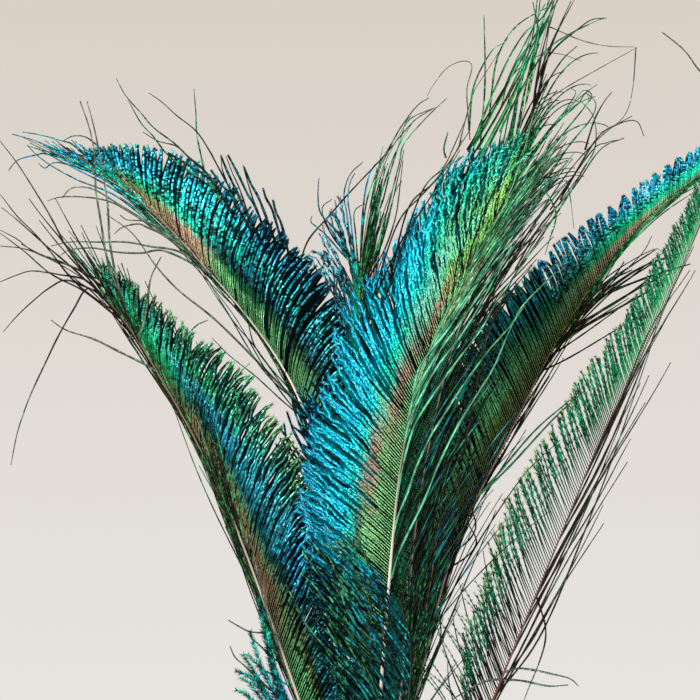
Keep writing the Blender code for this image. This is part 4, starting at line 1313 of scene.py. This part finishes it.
# ---------------------------------------------------------------- materials
class Graph:
    """Short ways to write a material's nodes."""

    def __init__(self, name):
        self.material = bpy.data.materials.new(name)
        self.material.use_nodes = True
        self.tree = self.material.node_tree
        self.shader = self.tree.nodes["Principled BSDF"]

    def node(self, kind, inputs=(), **settings):
        """A node with these settings, and values or links put in its inputs."""
        made = self.tree.nodes.new(kind)
        for key, value in settings.items():
            setattr(made, key, value)
        for key, value in inputs:
            self.put(made.inputs[key], value)
        return made

    def put(self, socket, value):
        """A link into the socket, or a uniform value set on it."""
        if isinstance(value, bpy.types.NodeSocket):
            self.tree.links.new(value, socket)
        else:
            socket.default_value = value

    def math(self, operation, a, b=0.0):
        """The result of a sum, where a and b are numbers or links."""
        return self.node("ShaderNodeMath", enumerate((a, b)), operation=operation).outputs[0]

    def times(self, a, b):
        """a multiplied by b."""
        return self.math("MULTIPLY", a, b)

    def plus(self, a, b):
        """a and b added."""
        return self.math("ADD", a, b)

    def swing(self, noise, amount):
        """Noise as a change of this size about 0."""
        return self.times(self.math("SUBTRACT", noise, 0.5), amount)

    def remap(self, value, low, high, to_low=0.0, to_high=1.0):
        """A smooth step from to_low to to_high between low and high."""
        numbers = {"From Min": low, "From Max": high, "To Min": to_low, "To Max": to_high}
        inputs = ("Value", value), *numbers.items()
        return self.node("ShaderNodeMapRange", inputs, interpolation_type="SMOOTHSTEP").outputs["Result"]

    def uv(self):
        """u along a barb or a shaft, and v across it."""
        made = self.node("ShaderNodeUVMap", uv_map="OFBake")
        split = self.node("ShaderNodeSeparateXYZ", ((0, made.outputs[0]),))
        return split.outputs[0], split.outputs[1]

    def vector(self, x, y, z=0.0):
        """A vector or a colour of three numbers or links."""
        return self.node("ShaderNodeCombineXYZ", enumerate((x, y, z))).outputs[0]

    def noise(self, vector, scale=1.0, detail=2.0):
        """Soft noise, mostly from 0.3 to 0.7."""
        inputs = ("Vector", vector), ("Scale", scale), ("Detail", detail)
        return self.node("ShaderNodeTexNoise", inputs, noise_dimensions="3D").outputs["Fac"]

    def streaks(self, u, v, along, across, start=0.0, detail=2.0):
        """Noise that changes along times over u and across times over v."""
        return self.noise(self.vector(self.times(u, along), self.times(v, across), start), detail=detail)

    def ramp(self, factor, stops):
        """A soft colour ramp with the palette's colours at {place: colour}."""
        made = self.node("ShaderNodeValToRGB", (("Fac", factor),))
        made.color_ramp.interpolation = "EASE"
        elements = made.color_ramp.elements
        while len(elements) > 1:
            elements.remove(elements[-1])
        (first, colour), *others = stops.items()
        elements[0].position, elements[0].color = first, linear(colour)
        for place, colour in others:
            elements.new(place).color = linear(colour)
        return made.outputs["Color"]

    def mix(self, factor, a, b, blend="MIX"):
        """A colour from a to b by the factor, or blended in another way."""
        inputs = ("Factor", factor), (6, a), (7, b)
        return self.node("ShaderNodeMix", inputs, data_type="RGBA", blend_type=blend).outputs[2]

    def finish(self, colour, roughness, metallic=0.0, specular=0.5):
        """The material, with these put on its shader."""
        self.put(self.shader.inputs["Base Color"], colour)
        self.put(self.shader.inputs["Roughness"], roughness)
        self.put(self.shader.inputs["Metallic"], metallic)
        self.put(self.shader.inputs["Specular IOR Level"], specular)
        return self.material


def zone_colour(g, place, v, zones):
    """The colour along a barb, from the ramp of its zone of the vane and the next one's."""
    (below, stops), *others = zones.items()
    colour = g.ramp(place, stops)
    for above, stops in others:
        colour = g.mix(g.remap(v, below, above), colour, g.ramp(place, stops))
        below = above
    return colour


def dash_light(g, u, row, line, look):
    """How light a barb is painted along its length, in dashes of painted glitter and shade, and the noise of
    the dashes and of the barbules.
    """
    dash = g.streaks(u, line, along=look["dash"], across=3.7, start=1.3)
    patch = g.streaks(u, row, along=5.0, across=0.09, start=4.1)
    blade = g.node("ShaderNodeTexWhiteNoise", noise_dimensions="3D")
    across, along = g.times(row, BLADES_PER_ROW), g.times(u, look["dash"] * BLADES_PER_DASH)
    g.put(blade.inputs["Vector"], g.vector(g.math("FLOOR", along), line, g.math("FLOOR", across)))
    blade = blade.outputs["Value"]
    calm = g.remap(u, look["calm"], look["calm"] + CALM_RAMP, CALM_LIFT, 0.0)
    light = g.plus(g.plus(dash, g.swing(patch, look["patch"])), calm)
    light = g.remap(light, *look["contrast"], look["dark"], 1.0)
    return g.times(light, g.remap(blade, 0.0, 1.0, *look["sparkle"])), dash, blade


def plume_material(name, zones, rows, look):
    """Barbs whose colours change along their length in zones, broken into dashes of painted glitter and
    shade, with one side of each painted in shade and painted highlights on the brightest barbules.
    """
    g = Graph(name)
    u, v = g.uv()
    row = g.times(v, rows)
    line, side = g.math("FLOOR", row), g.math("FRACT", row)
    ragged = g.streaks(u, row, along=3.0, across=0.21)
    colour = zone_colour(g, g.plus(u, g.swing(ragged, look["ragged"])), v, zones)
    hue = g.streaks(u, line, along=look["dash"] * HUES_PER_DASH, across=5.3, start=7.7, detail=1.0)
    tint = g.mix(g.remap(hue, *NOISE_BAND), *map(linear, look["tints"]))
    tint_band = look["tint_from"], look["tint_from"] + TINT_RAMP
    colour = g.mix(g.remap(u, *tint_band, 0.0, look["tint"]), colour, tint)
    light, dash, blade = dash_light(g, u, row, line, look)
    # Painted shade: the part of each barb's row below shade is darkened to shade_depth, and the painted
    # dashes multiply in
    edge, soft = look["shade"], look["shade_soft"]
    shade = g.times(g.remap(side, edge - soft, edge + soft, look["shade_depth"], 1.0), light)
    # Painted highlight: the brightest barbules beyond tint_from are mixed towards the glint colour
    glint = g.times(g.remap(blade, *GLINT_BAND), g.remap(u, *tint_band))
    colour = g.mix(g.times(glint, look["glint"]), colour, linear("glint"))
    colour = g.mix(1.0, colour, g.vector(shade, shade, shade), "MULTIPLY")
    return g.finish(colour, g.remap(dash, *ROUGH_BAND, *BARB_ROUGHNESS), look["metallic"], BARB_SPECULAR)


def shade_sheet_material(name, rows, under):
    """Painted shade that shows between the barbs, dark towards the front, and their dull brown backs."""
    g = Graph(name)
    u, v = g.uv()
    streak = g.streaks(u, v, along=4.0, across=rows * 1.7)
    # Painted shade in the gaps: black_teal at the roots, streaked towards the lit colour under further out
    lit = g.times(g.remap(streak, *NOISE_BAND), g.remap(u, *SHADE_SHEET_FADE))
    colour = g.mix(lit, linear("black_teal"), linear(under))
    dull = g.mix(g.remap(streak, *ROUGH_BAND), linear("dull_brown"), linear("dull_green"))
    side = g.math("FRACT", g.times(v, rows))
    colour = g.mix(g.math("GREATER_THAN", side, BACK_FROM), colour, dull)
    return g.finish(colour, SHADE_SHEET_ROUGHNESS, specular=0.0)


def shaft_material(name, looks):
    """A smooth shaft whose colour changes from the quill to the tip, with faint brown streaks."""
    g = Graph(name)
    u, v = g.uv()
    streak = g.streaks(u, v, along=9.0, across=3.0, detail=3.0)
    last = max(len(looks) - 1, 1)
    stops = {QUILL_SHARE + VANE_SHARE * i / last: look for i, look in enumerate(looks)}
    colour = g.ramp(g.plus(v, g.swing(streak, SHAFT_STREAKS)), stops)
    colour = g.mix(g.remap(streak, *STAIN_BAND, SHAFT_STAIN, 0.0), colour, linear("brown"))
    return g.finish(colour, g.remap(streak, *ROUGH_BAND, *SHAFT_ROUGHNESS))


def glaze_material():
    """A plain pale glaze with small brown specks."""
    g = Graph("vase_glaze")
    place = g.node("ShaderNodeTexCoord").outputs["Object"]
    speck = g.noise(place, SPECK_SCALE)
    cloud = g.noise(place, CLOUD_SCALE, 3.0)
    colour = g.mix(g.remap(speck, *SPECK_BAND), linear("clay"), linear("clay_speck"))
    colour = g.mix(g.remap(cloud, *CLOUD_BAND, 0.0, CLOUD_STAIN), colour, linear("clay_speck"))
    return g.finish(colour, g.remap(cloud, *ROUGH_BAND, *GLAZE_ROUGHNESS))


# ---------------------------------------------------------------- pieces
def place_piece(piece, node=None):
    """A piece that rides the one body, and stands in for a node if one is given."""
    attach(piece, "root")
    if node:
        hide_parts(node)


def make_shaft(feather):
    """The quill and shaft as a tapering tube, a little flattened across the vane."""
    share = np.linspace(0, 1, SHAFT_RINGS)
    here = share * feather.length
    centre = feather.at(here)
    along = unit(np.gradient(centre, axis=0))
    v = (here - feather.vane_start) / feather.vane_length
    sideways = unit(np.cross(along, feather.axes(np.clip(v, 0, 1))[2]))
    facing = np.cross(sideways, along)
    places, radii = zip(*SHAFT_TAPER)
    places = [p / QUILL_SPAN * feather.vane_start / feather.vane_length if p < 0 else p for p in places]
    radius = np.interp(v, places, radii) * MM * np.where(v > 0, feather.shape["thickness"], 1)
    turn = np.linspace(0, 2 * np.pi, SHAFT_SIDES + 1)
    cos, sin = np.cos(turn)[None, :, None], np.sin(turn)[None, :, None]
    ring = sideways[:, None] * cos * SHAFT_FLATNESS + facing[:, None] * sin
    soup = Soup()
    faces = grid_faces(SHAFT_RINGS, SHAFT_SIDES + 1)[:, ::-1]
    uv = np.stack(np.broadcast_arrays(turn / (2 * np.pi), share[:, None]), -1)
    soup.add(centre[:, None] + ring * radius[:, None, None], faces, uv)
    name = feather.name + "_shaft"
    piece = soup.build(name, shaft_material(name, feather.shape["shaft_look"]))
    piece.data.shade_smooth()
    place_piece(piece)


def barbs(name, lines, zones, look, rng):
    """One piece of barbs, each a strip with its barbules."""
    soup = Soup()
    half_width = BARB_HALF_WIDTH * look["width"]
    add_ribbons(soup, lines, half_width, BARB_RIDGE, look["taper"], look["root_width"])
    add_barbules(soup, lines, look, rng)
    return soup.build(name, plume_material(name, zones, lines.count, look))


def shade_sheet_and_backs(name, lines, look):
    """A dark sheet of painted shade that closes the gaps between the barbs, and their dull backs behind it.
    """
    soup = Soup()
    lines = lines.thinned(look["steps"] // SHADE_SHEET_STEPS)
    width, hold = look["backing"] * MM, look["hold"]
    add_ribbons(soup, lines, width, BACKING_RIDGE, BACKING_TAPER, offset=BACKING_OFFSET, hold=hold)
    add_ribbons(soup, lines, BACK_SHARE * width, 0, BACKING_TAPER, offset=BACKING_OFFSET + BACK_GAP,
                hold=hold, strip=BACK_ROW)
    return soup.build(name, shade_sheet_material(name, lines.count, look["under"]))


def make_vane(feather, vane, order, rng):
    """A stretch of the dense side and its dark sheet of painted shade with the barbs' backs. The first one
    stands in for the feather's solid.
    """
    look = {**BARB_LOOK, **feather.shape.get("alike", {}), **vane}
    number = str(order + 1) if order else ""
    lines = vane_lines(feather, look, rng)
    front = barbs(feather.name + "_barbs" + number, lines, look["zones"], look, rng)
    place_piece(front, None if order else feather.name)
    if look["backing"]:
        place_piece(shade_sheet_and_backs(feather.name + "_underside" + number, lines, look))


def make_strands(feather, rng):
    """The loose barbs of each look: the fans' and the listed ones."""
    groups = {}
    for group in feather.shape["fans"]:
        groups.setdefault(group["style"], []).append(fan_points(feather, group, rng))
    for style, paths in STRANDS.get(feather.name, {}).items():
        groups.setdefault(style, []).append(picture_points(feather, paths, rng))
    for style, members in groups.items():
        look = {**BARB_LOOK, **STRAND_LOOK, **STRAND_LOOKS[style]}
        points, facing = map(np.concatenate, zip(*members))
        lengths = np.linalg.norm(np.diff(points, axis=1), axis=2).sum(1)
        lines = Lines(points, facing[:, None], twist(rng, lengths))
        piece = barbs(f"{feather.name}_{style}", lines, {0: look["stops"]}, look, rng)
        place_piece(piece)


def vase_profile():
    """(radius, height) pairs from the inner floor's middle, over the rounded lip, to the foot's middle."""
    heights, radii = smooth_path(VASE_OUTLINE, VASE_STEPS).T * MM
    inside = heights >= VASE_FLOOR
    inner = np.stack([radii[inside] - VASE_WALL, heights[inside]], 1)
    floor = [[0, VASE_FLOOR], [FLAT_FLOOR * inner[0, 0], VASE_FLOOR]]
    lip = [
        [LIP_RADIUS - LIP_INNER, VASE_HEIGHT - LIP_INNER],
        [LIP_RADIUS, VASE_HEIGHT],
        [LIP_RADIUS + LIP_OUTER, VASE_HEIGHT - LIP_DROP],
    ]
    outer = np.stack([radii, heights], 1)[:0:-1]
    foot = [[radii[0], FOOT_BEVEL], [radii[0] - FOOT_BEVEL, 0], [0, 0]]
    return np.vstack([floor, inner, lip, outer, foot])


def make_vase():
    """The vase, turned smooth, with a plain glaze."""
    profile = vase_profile()
    turn = np.linspace(0, 2 * np.pi, VASE_SEGMENTS + 1)
    radius, height = profile[:, 0, None], profile[:, 1, None]
    points = np.stack(np.broadcast_arrays(radius * np.cos(turn), radius * np.sin(turn), height), -1)
    run = run_along(profile)
    uv = np.stack(np.broadcast_arrays(turn / (2 * np.pi), (run / run[-1])[:, None]), -1)
    soup = Soup()
    soup.add(points, grid_faces(len(profile), VASE_SEGMENTS + 1), uv)
    piece = soup.build("vase_body", glaze_material())
    piece.data.shade_smooth()
    place_piece(piece, "vase")


# ---------------------------------------------------------------- studio
def make_stage():
    """The floor that the vase stands on."""
    g = Graph("floor")
    place = g.node("ShaderNodeTexCoord").outputs["Object"]
    colour = g.mix(g.noise(place, FLOOR_SCALE, 3.0), linear("floor_dark"), linear("floor_pale"))
    bpy.ops.mesh.primitive_circle_add(vertices=FLOOR_SIDES, radius=FLOOR_RADIUS, fill_type="NGON",
                                      location=(0, 0, 0))
    floor = bpy.context.object
    floor.name = "floor"
    floor.data.materials.append(g.finish(colour, FLOOR_ROUGHNESS))


def make_light(name, place, size, energy, colour):
    """A square area light that faces the spray."""
    data = bpy.data.lights.new(name, "AREA")
    data.size, data.energy, data.color = size, energy, colour
    lamp = bpy.data.objects.new(name, data)
    lamp.location = place
    direction = Vector(LIGHT_TARGET) - Vector(place)
    lamp.rotation_euler = direction.to_track_quat("-Z", "Y").to_euler()
    bpy.context.scene.collection.objects.link(lamp)


def make_world():
    """A plain pale backdrop, which also lights the scene."""
    world = bpy.data.worlds.new("studio")
    world.use_nodes = True
    tree = world.node_tree
    back = tree.nodes["Background"]
    coords = tree.nodes.new("ShaderNodeTexCoord")
    split = tree.nodes.new("ShaderNodeSeparateXYZ")
    tree.links.new(coords.outputs["Generated"], split.inputs[0])
    ramp = tree.nodes.new("ShaderNodeValToRGB")
    spread = tree.nodes.new("ShaderNodeMapRange")
    spread.inputs["From Min"].default_value = -BACKDROP_BAND
    spread.inputs["From Max"].default_value = BACKDROP_BAND
    tree.links.new(split.outputs[2], spread.inputs["Value"])
    tree.links.new(spread.outputs["Result"], ramp.inputs["Fac"])
    ramp.color_ramp.elements[0].color = BACKDROP_BELOW
    ramp.color_ramp.elements[1].color = BACKDROP_ABOVE
    tree.links.new(ramp.outputs["Color"], back.inputs["Color"])
    back.inputs["Strength"].default_value = 1.0
    bpy.context.scene.world = world


def make_camera():
    """A camera where the photograph was taken from, level and looking along y."""
    data = bpy.data.cameras.new("camera")
    camera = bpy.data.objects.new("camera", data)
    camera.location = CAMERA_PLACE
    camera.rotation_euler = (math.pi / 2, 0, 0)
    data.sensor_width = SENSOR_WIDTH
    data.lens = SENSOR_WIDTH * -CAMERA_PLACE[1] / PICTURE_WIDTH
    data.clip_end = CLIP_END
    bpy.context.scene.collection.objects.link(camera)
    bpy.context.scene.camera = camera


def main():
    """The studio, the vase and every feather, with one source of random numbers for all."""
    rng = np.random.default_rng(SEED)
    make_camera()
    make_world()
    make_stage()
    for name, light in LIGHTS.items():
        make_light(name, **light)
    make_vase()
    for name, shape in FEATHERS.items():
        feather = Feather(name, shape)
        make_shaft(feather)
        for order, vane in enumerate(shape["vanes"]):
            make_vane(feather, vane, order, rng)
        make_strands(feather, rng)
    bpy.context.scene.view_settings.view_transform = "Standard"


main()
